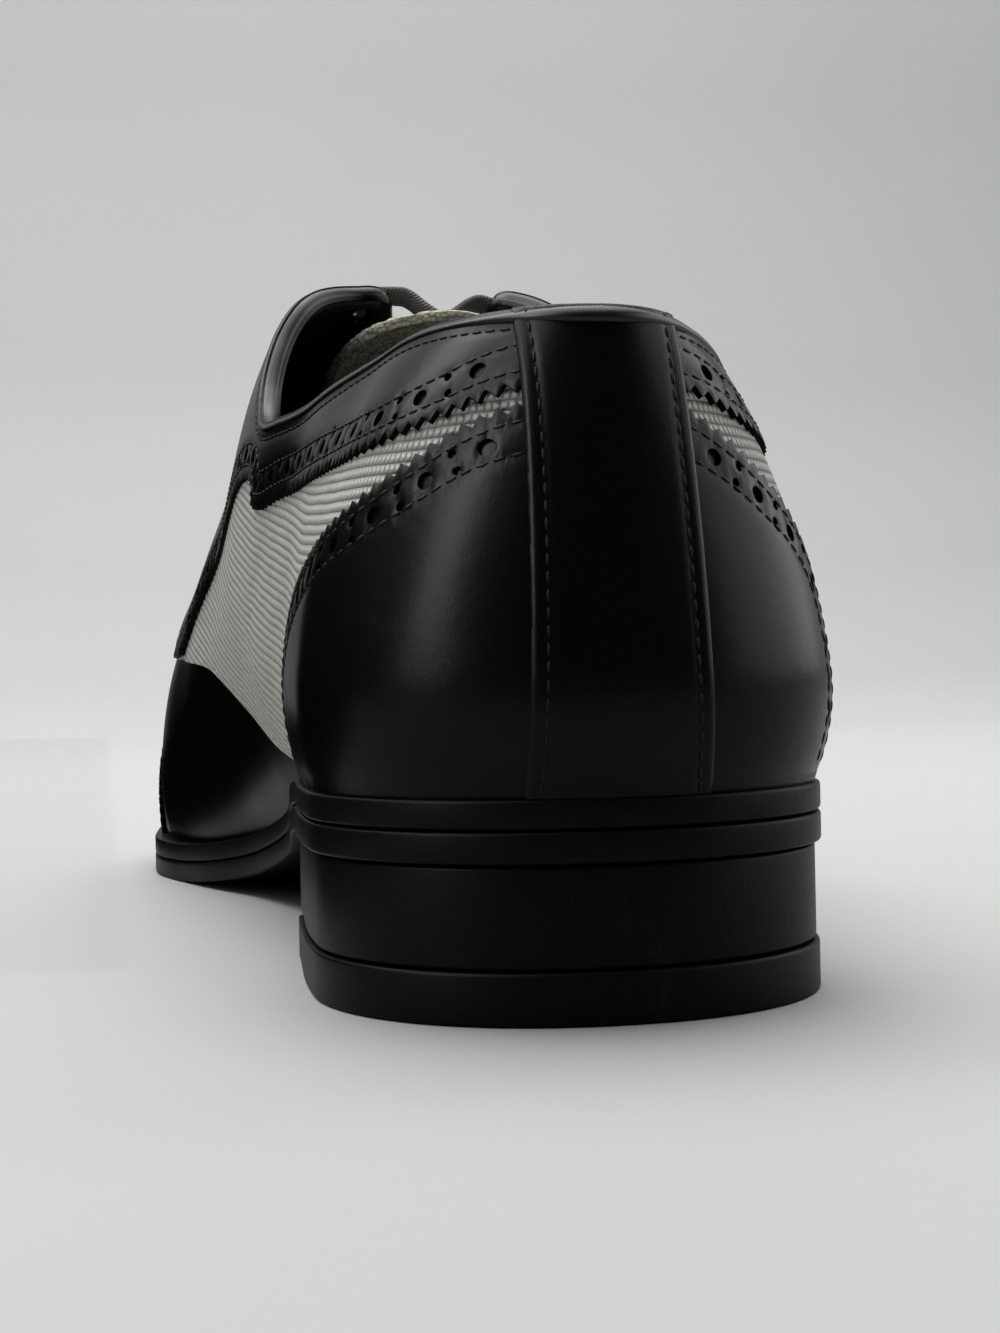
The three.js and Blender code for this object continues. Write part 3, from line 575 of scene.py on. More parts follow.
def directed_edges(triangles):
    return {(a, b) for t in triangles for a, b in ((t[0], t[1]), (t[1], t[2]), (t[2], t[0]))}


def panel(name, outline_uv, low, high, punched=(), through=(), grooves=(), spacing=0.95,
          drop=0.14, groove=0.13, folds=False, rolled=None):
    loop = clean_loop(outline_uv)
    holes = [clean_loop(h) for h in list(punched) + list(through)]
    blind = len(punched)
    step = spacing / FLAT
    gu = np.arange(loop[:, 0].min(), loop[:, 0].max(), step[0])
    gv = np.arange(loop[:, 1].min(), loop[:, 1].max(), step[1])
    grid = np.stack(np.meshgrid(gu, gv, indexing="ij"), -1)
    grid[1::2, :, 1] += step[1] / 2
    grid = grid.reshape(-1, 2)
    lines = []
    for g in grooves:
        for shift in (0, -0.55, 0.55):
            u, v = even_line(*g, 0.9)
            lines.append(np.stack(aside((u, v), 1, shift) if shift else (u, v), -1))
    edge = np.vstack([loop] + holes)
    flat3 = lambda p: np.column_stack([p * FLAT, np.zeros(len(p))])
    if lines:
        seeds = np.vstack(lines)
        seeds = seeds[inside(seeds, loop)]
        seeds = seeds[nearest_gap(flat3(seeds), flat3(edge)) > 0.3]
        grid = grid[nearest_gap(flat3(grid), flat3(seeds)) > 0.5]
    grid = grid[inside(grid, loop)]
    grid = grid[nearest_gap(flat3(grid), flat3(edge)) > 0.42 * spacing]
    if lines:
        grid = np.vstack([seeds, grid])
    points = np.vstack([edge, grid])
    edges, start = [], 0
    for ring in [loop] + holes:
        n = len(ring)
        edges += [(start + i, start + (i + 1) % n) for i in range(n)]
        start += n
    out = delaunay_2d_cdt([Vector(p) for p in points * FLAT], edges, [], 0, 1e-7)
    flat = np.array([tuple(p) for p in out[0]]) / FLAT
    tris = np.array([f for f in out[2] if len(f) == 3])
    middle = flat[tris].mean(1)
    within = inside(middle, loop)
    tris, middle = tris[within], middle[within]
    which = np.full(len(tris), -1)
    for k, hole in enumerate(holes):
        near = np.abs(middle - hole.mean(0)).max(1) < 0.03
        rows = np.nonzero(near)[0]
        rows = rows[inside(middle[rows], hole)] if len(rows) else rows
        which[rows] = k
    u, v = flat[:, 0], flat[:, 1]
    skin_on = last_point(u, v)
    normal = last_normal(u, v)
    rim_gap = nearest_gap(skin_on, last_point(edge[:, 0], edge[:, 1]))
    height = high - drop * np.exp(-(rim_gap / 0.3) ** 2)
    if lines:
        on_line = np.vstack([np.stack(even_line(*g, 0.3), -1) for g in grooves])
        gap = nearest_gap(skin_on, last_point(on_line[:, 0], on_line[:, 1]))
        height = height - groove * np.exp(-(gap / 0.5) ** 2)
    n = len(flat)
    tuck = np.where((v < 1e-4) | (v > 2 - 1e-4), -1.2, 0.0)[:, None] * np.array([0, 0, 1.0])
    skin_on = skin_on + tuck + normal * creases(skin_on)[:, None]
    top = skin_on + normal * height[:, None]
    floor = skin_on + normal * (QUARTER_TOP + 0.14)
    under = skin_on + normal * low
    skin = tris[which < 0]
    floors = tris[(which >= 0) & (which < blind)]
    base = tris[which < blind]
    faces = [tuple(t) for t in skin]
    faces += [tuple(t + n) for t in floors]
    faces += [tuple(t[::-1] + 2 * n) for t in base]
    kinds = [0] * len(skin) + [1] * len(floors) + [2] * len(base)
    seen, in_floor = directed_edges(skin), directed_edges(floors)
    rim_edges = [(a, b) for a, b in seen if (b, a) not in seen]
    verts = [top, floor, under]
    if rolled:
        push = np.zeros((n, 3))
        for a, b in rim_edges:
            out_way = np.cross(skin_on[b] - skin_on[a], normal[a])
            push[a] += out_way
            push[b] += out_way
        push /= np.maximum(np.linalg.norm(push, axis=1, keepdims=True), 1e-9)
        for share, reach in rolled:
            verts.append(skin_on + normal * (high + (low - high) * share) + push * reach)
    on_fold = (np.abs(u) < 1e-7) | (np.abs(np.abs(u) - 1) < 1e-7) if folds else np.zeros(n, bool)
    levels = [0] + [3 + k for k in range(len(rolled or ()))] + [2]
    for a, b in rim_edges:
        if on_fold[a] and on_fold[b] and abs(u[a] - u[b]) < 1e-7:
            continue
        if (b, a) in in_floor:
            faces.append((b, a, a + n, b + n))
            kinds.append(1)
            continue
        for upper_level, lower_level in zip(levels[:-1], levels[1:]):
            p, q = upper_level * n, lower_level * n
            faces.append((b + p, a + p, a + q, b + q))
            kinds.append(1)
    verts = np.vstack(verts)
    layers = len(verts) // n
    uv = np.tile(cloth_uv(u, v, skin_on), (layers, 1))
    used = np.zeros(len(verts), bool)
    for f in faces:
        used[list(f)] = True
    renumber = np.cumsum(used) - 1
    faces = [tuple(int(renumber[i]) for i in f) for f in faces]
    made = mesh_object(name, verts[used], faces, uv=uv[used], kinds=kinds)
    return weld(made) if folds else made


# %% [markdown]
# ## The upper: one hollow shell
# On the real shoe the vamp and the lining make one shell with an opening. It is one panel that
# covers both sides: u runs 0 to 1 and v climbs over the ridge, 1 to 2 being the medial side. The
# back seam and the toe are folds in this chart, and they are welded. The rim is rolled.

# %% Make the upper
def line_stack(*lines):
    return np.vstack([np.stack(line, -1) for line in lines])


def reverse(line):
    return line[0][::-1], line[1][::-1]


def over_ridge(line):
    return -line[0], 2 - line[1]


def straight(a, b, count):
    t = np.linspace(0, 1, count)
    return a[0] + (b[0] - a[0]) * t, a[1] + (b[1] - a[1]) * t


def throat_round():
    half = THROAT_W / 2
    turn = np.linspace(0, math.pi, 24)[1:-1]
    targets = np.stack([throat_x + half * np.cos(turn), THROAT_END - half + half * np.sin(turn)], -1)
    s, v, _ = find_on_last(targets, LATERAL, [0, 1], 0.5, 1.4)
    return s, v


EYELET_SETBACK, EYELET_PAIRS, EYELET = 9.2, 4, 4.0
eyelets = {}
for side in (MEDIAL, LATERAL):
    rows = np.linspace(FACING_FRONT + 4, THROAT_END - 16, EYELET_PAIRS)
    spots = np.stack([np.full(EYELET_PAIRS, throat_x + side * (THROAT_W / 2 + EYELET_SETBACK)), rows], -1)
    s, v, _ = find_on_last(spots, side, [0, 1], 0.3, 1.3)
    eyelets[side] = np.stack([side * s, v], -1)
toe_rise = np.linspace(0, 2, 121)
back_rise = np.linspace(0, rim_line[LATERAL][1][0], 60)
upper_outline = line_stack(
    straight((0, 0), (1, 0), 420),
    (np.ones(119), toe_rise[1:-1]),
    straight((1, 2), (0, 2), 420),
    (np.zeros(58), 2 - back_rise[1:-1]),
    over_ridge(rim_line[MEDIAL]),
    over_ridge(throat_edge[MEDIAL]),
    reverse(throat_round()),
    reverse(throat_edge[LATERAL]),
    reverse(rim_line[LATERAL]),
    (np.zeros(58), back_rise[::-1][1:-1]),
)
holes = [ring_on_last(u, v, EYELET / 2, 20) for u, v in eyelets[LATERAL]]
for u, v in eyelets[MEDIAL]:
    ring = ring_on_last(u, v, EYELET / 2, 20)
    holes.append(np.column_stack([-ring[:, 0], 2 - ring[:, 1]]))
upper = panel("upper_shell", upper_outline, -WALL, 0.0, through=holes, spacing=2.2, drop=0.3,
              folds=True, rolled=[(0.3, 0.35), (0.7, 0.35)])

# %% [markdown]
# ## The white quarters
# The quarter is the side of the shoe behind the vamp. Its lower front edge is cut smooth and lies
# on the vamp, so it is a thin panel of its own, a little proud of the shell. The overlays cover
# its other edges.

# %% Make the quarters
COUNTER_H, COUNTER_R, TAB_R, TAB_H, CORNER, CORNER_H = 78.0, 67.0, 104.0, 71.0, 196.0, 47.0
QUARTER_EDGE = [
    (58, 24), (62, 27.6), (66, 28.9), (80, 30.0), (110.9, 32.6), (126.7, 37.3), (138.9, 41),
    (159, 45.1), (181.5, 46.6), (191, 47.4),
]
FRONT_EDGE = [
    (CORNER, CORNER_H), (1.01 * CORNER, 1.2 * CORNER_H), (1.0 * CORNER, 1.42 * CORNER_H),
    (0.95 * CORNER, 1.8 * CORNER_H),
]


def chop(line, count_head=0, count_tail=0):
    end = len(line[0]) - count_tail
    return line[0][count_head:end], line[1][count_head:end]


def feather_stretch(side, s0, s1, count=160):
    return straight((side * s0, 0), (side * s1, 0), count)


def station(y):
    return math.acos(1 - 2 * y / LENGTH) / math.pi


quarters = {}
for side, word in ((MEDIAL, "medial"), (LATERAL, "lateral")):
    low = seam(QUARTER_EDGE, side)
    front = seam([(y - 2.2, z) for y, z in FRONT_EDGE], side, spacing=0.8)
    i, k = meet(front, throat_edge[side])
    front = chop(front, 0, len(front[0]) - i)
    facing = throat_edge[side][0][:k], throat_edge[side][1][:k]
    border = line_stack(
        feather_stretch(side, 0, abs(low[0][0]) - 0.004),
        low, front, reverse(facing), reverse(rim_line[side]),
        straight((0, rim_line[side][1][0] - 0.01), (0, 0.01), 50),
    )
    holes = [ring_on_last(u, v, EYELET / 2, 20) for u, v in eyelets[side]]
    quarters[side] = panel(f"quarter_{word}", border, 0.02, QUARTER_TOP, through=holes, spacing=1.6,
                           drop=0.15)

# %% [markdown]
# ## The brogued overlays
# Counters, collar bands with their round tabs, facings and wing cap are black leather with a
# pinked edge. Along each edge runs a row of large holes with pairs of small ones between them,
# and a line of stitching on each side of the row.

# %% Brogue rows
PINK_PITCH, PINK_DEPTH = 2.45, 1.3
BIG_HOLE, SMALL_HOLE, BROGUE_PITCH = 1.2, 0.62, 9.0
EDGE_STITCH, BROGUE_IN, INNER_STITCH, RIM_STITCH, FACING_STITCH = 2.6, 4.6, 6.6, 3.0, 2.2
stitch_lines = {"overlay": []}


def brogue_row(line):
    """Holes along a line: one large, then a pair of small ones across the line, and so on."""
    u, v = even_line(*line, 0.25)
    run = run_along(last_point(u, v))
    count = max(1, int(round(run[-1] / BROGUE_PITCH)))
    pitch = run[-1] / count
    _, _, out = tangent_frame(u, v)
    holes = []
    for i in range(2 * count + 1):
        at = pitch * (i / 2 + 0.5)
        if not BIG_HOLE <= at <= run[-1] - BIG_HOLE:
            continue
        k = int(np.searchsorted(run, at))
        spot_u, spot_v = u[k:k + 1], v[k:k + 1]
        if i % 2 == 0:
            holes.append(ring_on_last(spot_u[0], spot_v[0], BIG_HOLE, 14))
        else:
            for way in (-1.25, 1.25):
                a, b = step_on_last(spot_u, spot_v, out[k:k + 1] * way)
                holes.append(ring_on_last(a[0], b[0], SMALL_HOLE, 9))
    return holes


def off_fold(line):
    """The part of a line that keeps clear of the fold at the back seam."""
    u, v = line
    return u[np.abs(u) > 0.02], v[np.abs(u) > 0.02]


COUNTER_EDGE = [
    (-6, COUNTER_H), (0.09 * COUNTER_R, 0.985 * COUNTER_H), (0.15 * COUNTER_R, 0.955 * COUNTER_H),
    (0.23 * COUNTER_R, 0.9 * COUNTER_H), (0.33 * COUNTER_R, 0.85 * COUNTER_H),
    (0.48 * COUNTER_R, 0.8 * COUNTER_H), (0.69 * COUNTER_R, 0.735 * COUNTER_H),
    (0.85 * COUNTER_R, 0.65 * COUNTER_H), (0.96 * COUNTER_R, 0.55 * COUNTER_H),
    (COUNTER_R, 0.45 * COUNTER_H), (0.98 * COUNTER_R, 0.34 * COUNTER_H),
    (0.93 * COUNTER_R, 0.27 * COUNTER_H),
]
COUNTER_EDGE_OUT = [
    (-6, COUNTER_H), (5, 77), (8.6, 72.9), (12, 68.4), (16.5, 63.6), (20, 58), (21.6, 50), (21.7, 42),
    (22.2, 34), (23.4, 27),
]
counters = {}
for side, word, shape in ((MEDIAL, "medial", COUNTER_EDGE), (LATERAL, "lateral", COUNTER_EDGE_OUT)):
    edge = seam(shape, side, from_back=True)
    teeth = pinked(edge, side, PINK_PITCH, PINK_DEPTH)
    rows = [off_fold(aside(edge, side, d)) for d in (EDGE_STITCH, INNER_STITCH)]
    rows = [(u[v > 0.02], v[v > 0.02]) for u, v in rows]
    holes = brogue_row(aside(chop(edge, 22, 12), side, BROGUE_IN))
    stitch_lines["overlay"] += rows
    border = line_stack(
        feather_stretch(side, 0, abs(teeth[0][-1]) - 0.002), reverse(teeth),
        straight((0, teeth[1][0]), (0, 0.01), 60),
    )
    counters[side] = panel(f"counter_{word}_leather", border, 0.1, OVERLAY_TOP, punched=holes, grooves=rows)
print("stitch rows so far:", len(stitch_lines["overlay"]))

# %% [markdown]
# ## Collar bands
# The band runs from the back strip under the rim to a round tab, and on down the front of the
# facing. It could be one mesh and its mirror image, but the two sides of a last differ, so each
# side is drawn from the same table. The eyelets go right through it.

# %% Collar bands with facings
BAND_EDGE = [
    (-6, COUNTER_H + 1.2), (0.06 * TAB_R, COUNTER_H + 0.4), (0.13 * TAB_R, 1.06 * TAB_H),
    (0.24 * TAB_R, 1.025 * TAB_H), (0.45 * TAB_R, 1.015 * TAB_H), (0.8 * TAB_R, 1.01 * TAB_H),
    (0.93 * TAB_R, TAB_H), (0.985 * TAB_R, 1.02 * TAB_H), (1.01 * TAB_R, 1.07 * TAB_H),
    (1.13 * TAB_R, 1.09 * TAB_H), (0.71 * CORNER, 1.52 * CORNER_H),
    (0.81 * CORNER, 1.34 * CORNER_H), (0.88 * CORNER, 1.18 * CORNER_H), (0.94 * CORNER, CORNER_H),
]
gap_edge, bands = {}, {}
for side, word in ((MEDIAL, "medial"), (LATERAL, "lateral")):
    low = seam(BAND_EDGE, side, from_back=True)
    front = seam(FRONT_EDGE, side, spacing=0.5)
    gap_edge[side] = throat_line(side, 116, 205, 0.5)
    i, k = meet(front, gap_edge[side])
    front = chop(front, 0, len(front[0]) - i)
    bend = throat_edge[side][0][:8], throat_edge[side][1][:8]
    start = np.argmin(np.linalg.norm(last_point(*gap_edge[side]) - last_point(
        throat_edge[side][0][8], throat_edge[side][1][8]), axis=1))
    facing = tuple(np.concatenate([bend[j], gap_edge[side][j][start:k]]) for j in (0, 1))
    teeth = pinked(low, side, PINK_PITCH, -PINK_DEPTH)
    front_teeth = pinked(front, side, PINK_PITCH, -PINK_DEPTH)
    border = line_stack(teeth, front_teeth, reverse(facing), reverse(rim_line[side]),
                        straight((0, rim_line[side][1][0] - 0.005), (0, teeth[1][0] + 0.005), 10))
    sewn = [off_fold(aside(low, side, -d)) for d in (EDGE_STITCH, INNER_STITCH)]
    sewn += [off_fold(aside(rim_line[side], side, RIM_STITCH)), aside(facing, side, FACING_STITCH)]
    stitch_lines["overlay"] += sewn
    holes = brogue_row(aside(chop(low, 22, 8), side, -BROGUE_IN))
    eyes = [ring_on_last(u, v, EYELET / 2, 20) for u, v in eyelets[side]]
    bands[side] = panel(f"band_{word}_leather", border, 0.1, OVERLAY_TOP, punched=holes, through=eyes,
                        grooves=sewn)

# %% [markdown]
# ## The wing cap
# The toe cannot be seen from behind, so the cap is the plain form that such shoes have. It crosses
# the toe and the ridge, where the chart folds, so its medial half is written with v from 1 to 2.

# %% Wing cap
WING_EDGE = [
    (0.71 * LENGTH, -0.2 * BALL), (0.735 * LENGTH, 0.15 * BALL), (0.76 * LENGTH, 0.4 * BALL),
    (0.782 * LENGTH, 0.6 * BALL), (0.79 * LENGTH, 0.72 * BALL), (0.785 * LENGTH, 0.82 * BALL),
    (0.765 * LENGTH, 0.95 * BALL), (0.74 * LENGTH, 1.1 * BALL),
]
wing_lines, wing_holes, wing_rows = {}, [], []
for side in (MEDIAL, LATERAL):
    u, v = seam(WING_EDGE, side)
    below = int(np.argmax(v > 0.93)) if (v > 0.93).any() else len(v) - 1
    u, v = u[:below], v[:below]
    slope = (u[-1] - u[-6]) / (v[-1] - v[-6])
    crest = np.linspace(v[-1], 1, 12)[1:]
    edge = np.append(u, u[-1] + slope * (crest - v[-1]) * 0.5), np.append(v, crest)
    teeth = pinked(edge, side, PINK_PITCH, PINK_DEPTH)
    good = (teeth[1] < 1) & (teeth[1] > 0)
    wing_lines[side] = teeth[0][good], teeth[1][good]
    rows = [aside(chop(edge, 4, 1), side, d) for d in (EDGE_STITCH, INNER_STITCH)]
    rows = [(a[(b < 1) & (b > 0.02)], b[(b < 1) & (b > 0.02)]) for a, b in rows]
    holes = brogue_row(aside(chop(edge, 16, 6), side, BROGUE_IN))
    if side == MEDIAL:
        holes = [np.column_stack([-h[:, 0], 2 - h[:, 1]]) for h in holes]
        rows = [over_ridge(r) for r in rows]
    wing_holes += holes
    wing_rows += rows
stitch_lines["overlay"] += wing_rows
foot = abs(wing_lines[LATERAL][0][0]), abs(wing_lines[MEDIAL][0][0])
wing_outline = line_stack(
    straight((foot[0], 0), (1, 0), 200), (np.ones(119), toe_rise[1:-1]), straight((1, 2), (foot[1], 2), 200),
    over_ridge(wing_lines[MEDIAL]), reverse(wing_lines[LATERAL]),
)
wing = panel("wing_cap_leather", wing_outline, 0.1, OVERLAY_TOP, punched=wing_holes, grooves=wing_rows,
             spacing=1.15, folds=True)

# %% [markdown]
# ## The back strip
# The back strip covers the back seam and the ends of both counters, so it lies on top of them. It
# could be a ribbon swept up the seam. As a panel of the last it keeps the heel's round form, and
# its edges, which are found in the view from behind, stay straight there.

# %% Back strip
STRIP_TOP, STRIP_BOTTOM = 19.0, 23.5
STRIP_HIGH, STRIP_STITCH = 2.05, 2.0
strip_side = {}
for side in (MEDIAL, LATERAL):
    z = np.linspace(feather(0.0) + SEAM, COLLAR_BACK + 1, 160)
    half = STRIP_BOTTOM / 2 + (STRIP_TOP - STRIP_BOTTOM) / 2 * (z - HEEL_SEAT) / (COLLAR_BACK - HEEL_SEAT)
    s, v, gap = find_on_last(np.stack([side * half, z], -1), side, [0, 2], high_s=0.2)
    keep = (gap < 0.1) & (s < 0.2)
    strip_side[side] = side * s[keep], v[keep]
rim_back = {}
for side in (MEDIAL, LATERAL):
    i, k = meet(strip_side[side], rim_line[side])
    strip_side[side] = chop(strip_side[side], 0, len(strip_side[side][0]) - i)
    rim_back[side] = rim_line[side][0][:k], rim_line[side][1][:k]
strip_rows = [chop(aside(strip_side[s], s, -STRIP_STITCH), 3, 3) for s in (MEDIAL, LATERAL)]
if strip_rows[0][0][10] < strip_side[MEDIAL][0][10]:
    strip_rows = [chop(aside(strip_side[s], s, STRIP_STITCH), 3, 3) for s in (MEDIAL, LATERAL)]
stitch_lines["strip"] = strip_rows
strip_outline = line_stack(
    straight((strip_side[MEDIAL][0][0], 0), (strip_side[LATERAL][0][0], 0), 40),
    strip_side[LATERAL], reverse(rim_back[LATERAL]), rim_back[MEDIAL], reverse(strip_side[MEDIAL]),
)
strip = panel("back_strip_leather", strip_outline, 0.1, STRIP_HIGH, grooves=strip_rows, spacing=0.8,
              drop=0.35)

# %% [markdown]
# ## The tongue
# A tongue is a soft strip of cloth and leather with foam between them. It could be simulated as
# cloth. One outline in plan, a rolled edge and a soft sag at its free end give the rest shape.

# %% Tongue
TONGUE_TOP, TONGUE_W = 130.0, 46.0
half, rear, ahead = TONGUE_W / 2, TONGUE_TOP, THROAT_END + 12
tongue_plan = [
    (half, rear + 15), (0.8 * half, ahead - 6), (0.5 * half, ahead), (-0.5 * half, ahead),
    (-0.8 * half, ahead - 6), (-half, rear + 15), (-0.88 * half, rear + 6), (-0.55 * half, rear + 1),
    (0, rear - 1), (0.55 * half, rear + 1), (0.88 * half, rear + 6), (half, rear + 15),
]
tongue_plan = smooth_line([(throat_x + x, y) for x, y in tongue_plan], 12)[:-1]
s, v, gap = find_on_last(tongue_plan, LATERAL, [0, 1], 0.3, 1.7)
tongue = panel("tongue_padded", np.stack([s, v], -1), -5.0, -2.4, spacing=1.1, drop=0.7,
               rolled=[(0.35, 0.4), (0.65, 0.4)])


def sink_tongue(obj, depth=3.9, tilt=0.1):
    """The empty shoe's tongue sags at its free end, more on the medial side."""
    for vertex in obj.data.vertices:
        x, y, _ = np.array(vertex.co) * 1000 - SHIFT
        free = min(max((160 - y) / 32, 0), 1)
        free = free * free * (3 - 2 * free)
        vertex.co.z -= free * (depth + tilt * max(0, throat_x + 4 - x)) / 1000


sink_tongue(tongue)
print("tongue border found within, mm:", round(float(gap.max()), 2))

# %% [markdown]
# ## The sock
# The sock is the cover on which the foot stands. Rows are stretched from one side of the feather
# line to the other and bowed up a little, so it closes the hollow shell from below.

# %% Sock inside the shoe
INSOLE = 2.6


def sock_mesh():
    count, across_count = 140, 30
    faces = []
    s = np.linspace(0, 1, count + 1)
    left = on_last(-s, np.zeros_like(s), -WALL - SEAM)
    right = on_last(s, np.zeros_like(s), -WALL - SEAM)
    t = np.linspace(0, 1, across_count + 1)
    rows = left[:, None] * (1 - t)[None, :, None] + right[:, None] * t[None, :, None]
    bow = np.sin(np.pi * t)[None] ** 0.5
    top = rows + np.array([0, 0, 1.0]) * (INSOLE - 0.5 + 0.5 * bow)[..., None]
    w = across_count + 1
    n = (count + 1) * w
    verts = np.vstack([top.reshape(-1, 3), rows.reshape(-1, 3)])
    for i in range(count):
        for k in range(across_count):
            a = i * w + k
            faces.append((a, a + 1, a + w + 1, a + w))
            faces.append((n + a, n + a + w, n + a + w + 1, n + a + 1))
        for k, flip in ((0, True), (across_count, False)):
            a, b = i * w + k, (i + 1) * w + k
            face = (a, b, n + b, n + a)
            faces.append(face if not flip else face[::-1])
    return verts, faces


insole = weld(mesh_object("sock", *sock_mesh()))

# %% [markdown]
# ## The laces
# A flat lace could be a curve with a bevel, but a curve twists where it dives into an eyelet. Here
# rings of points follow the leather from eyelet to eyelet and sag where they cross the throat.

# %% Lace bars
LACE_W, LACE_T = 4.6, 1.5
LACE_SAG = [6.2, 2.6, 2.2, 1.8]


def lace_mesh(pair):
    start, end = last_point(*eyelets[MEDIAL][pair]), last_point(*eyelets[LATERAL][pair])
    count = 48
    t = np.linspace(0, 1, count + 1)
    plan = start[None, :2] + (end - start)[None, :2] * t[:, None]
    s, v, _ = find_on_last(plan, LATERAL, [0, 1], 0.3, 1.7)
    base, normal = last_point(s, v), last_normal(s, v)
    run = np.minimum(t, 1 - t) * np.linalg.norm(end - start)
    dive = 1 - np.clip(run / 2.6, 0, 1)
    lift = OVERLAY_TOP + 0.15 + LACE_T / 2 - 3.6 * dive ** 2.2
    free = np.clip((run - EYELET_SETBACK + 1) / (run.max() - EYELET_SETBACK + 1), 0, 1)
    lift = lift - LACE_SAG[pair] * free * free * (3 - 2 * free)
    path = base + normal * lift[:, None]
    across = np.gradient(path, axis=0)
    across /= np.linalg.norm(across, axis=1, keepdims=True)
    ahead = np.cross(normal, across)
    ahead /= np.linalg.norm(ahead, axis=1, keepdims=True)
    up = np.cross(across, ahead)
    ring = 20
    turn = np.arange(ring) * 2 * np.pi / ring
    c, n = np.cos(turn), np.sin(turn)
    flat_x = np.sign(c) * np.abs(c) ** 0.55 * LACE_W / 2
    flat_z = np.sign(n) * np.abs(n) ** 0.7 * LACE_T / 2
    narrow = 1 - 0.35 * dive
    verts = (path[:, None] + ahead[:, None] * (flat_x[None] * narrow[:, None])[..., None]
             + up[:, None] * flat_z[None, :, None])
    faces = []
    for i in range(count):
        for k in range(ring):
            a, b = i * ring + k, i * ring + (k + 1) % ring
            faces.append((a, a + ring, b + ring, b))
    faces.append(tuple(range(ring)))
    faces.append(tuple(range(count * ring, (count + 1) * ring))[::-1])
    length = run_along(path)
    uv = np.stack(np.broadcast_arrays(length[:, None] / 10, flat_x[None] / 10), -1).reshape(-1, 2)
    return verts.reshape(-1, 3), faces, uv


laces = []
for pair in range(EYELET_PAIRS):
    verts, faces, uv = lace_mesh(pair)
    laces.append(mesh_object(f"lace_{pair + 1}_tape", verts, faces, uv=uv, smooth_angle=60))

# %% [markdown]
# ## The sole unit
# Welt, outsole, heel and top lift are slabs that follow one plan. Each is a loft of cross
# sections from heel to toe, with a small round on its edges, so a fine shadow line shows where
# two slabs meet.

# %% Make the sole layers
def slab(name, top, bottom, inset=0.0, to_y=LENGTH, count=260, edge_round=0.5):
    last = station(to_y) if to_y < LENGTH else 1.0
    s = np.linspace(0, last, count + 1)
    arc = np.linspace(0, np.pi / 2, 5)
    rounds = [(edge_round * (1 - math.sin(a)), edge_round * (1 - math.cos(a))) for a in arc]
    across_count = 26
    columns = []
    for side in (-1, 1):
        x, y = outline(s, side)
        nx, ny = outline_normal(s, side)
        ring = []
        for level, way, steps in ((top, -1, rounds), (bottom, 1, rounds[::-1])):
            for r, drop in steps:
                px, py = x - nx * (inset + r), y - ny * (inset + r)
                ring.append(np.stack([px, py, level(py) + way * drop], -1))
        columns.append(np.stack(ring, 1))
    medial, lateral = columns
    t = np.linspace(0, 1, across_count + 1)[1:-1]

    def bridge(a, b, level):
        rows = a[:, None] * (1 - t)[None, :, None] + b[:, None] * t[None, :, None]
        rows[..., 2] = level(rows[..., 1])
        return rows

    loop = np.concatenate([medial, bridge(medial[:, -1], lateral[:, -1], bottom),
                           lateral[:, ::-1], bridge(lateral[:, 0], medial[:, 0], top)], 1)
    n = loop.shape[1]
    faces = []
    for i in range(count):
        for k in range(n):
            a, b = i * n + k, i * n + (k + 1) % n
            faces.append((a, a + n, b + n, b))
    if to_y < LENGTH:
        faces.append(tuple(range(count * n, (count + 1) * n))[::-1])
    made = mesh_object(name, loop.reshape(-1, 3), faces, smooth_angle=50)
    outward(weld(made, 5e-6), 1e-6)
    made.data.set_sharp_from_angle(angle=math.radians(50))
    return made


welt = slab("welt_strip", feather, lambda y: feather(y) - WELT)
outsole = slab("outsole_slab", lambda y: underside(y) + OUTSOLE, underside)
heel = slab("heel_stack", lambda y: underside(y) - SEAM, lambda y: 0 * y + TOP_LIFT + SEAM,
            HEEL_INSET, HEEL_BREAST, 120)
lift_piece = slab("heel_top_lift", lambda y: 0 * y + TOP_LIFT, lambda y: 0 * y, 0.5 * HEEL_INSET,
                  HEEL_BREAST - 1, 120)

# %% [markdown]
# ## Folded rim
# The top edge of the collar is a strip of thin leather turned over the edge and stitched. It is
# swept along the whole topline as one profile, from the outside of the band, over the rim, to
# the lining.

# %% Sweep the rim binding
RIM_PROFILE = [
    (1.2, -1.9), (1.7, -1.75), (1.8, -1.2), (1.55, -0.65), (1.15, -0.15), (0.65, 0.25), (0.05, 0.48),
    (-0.6, 0.5), (-1.25, 0.35), (-1.75, 0.0), (-2.1, -0.6), (-2.25, -1.5), (-2.25, -2.8), (-1.7, -3.0),
    (0, -1.6),
]


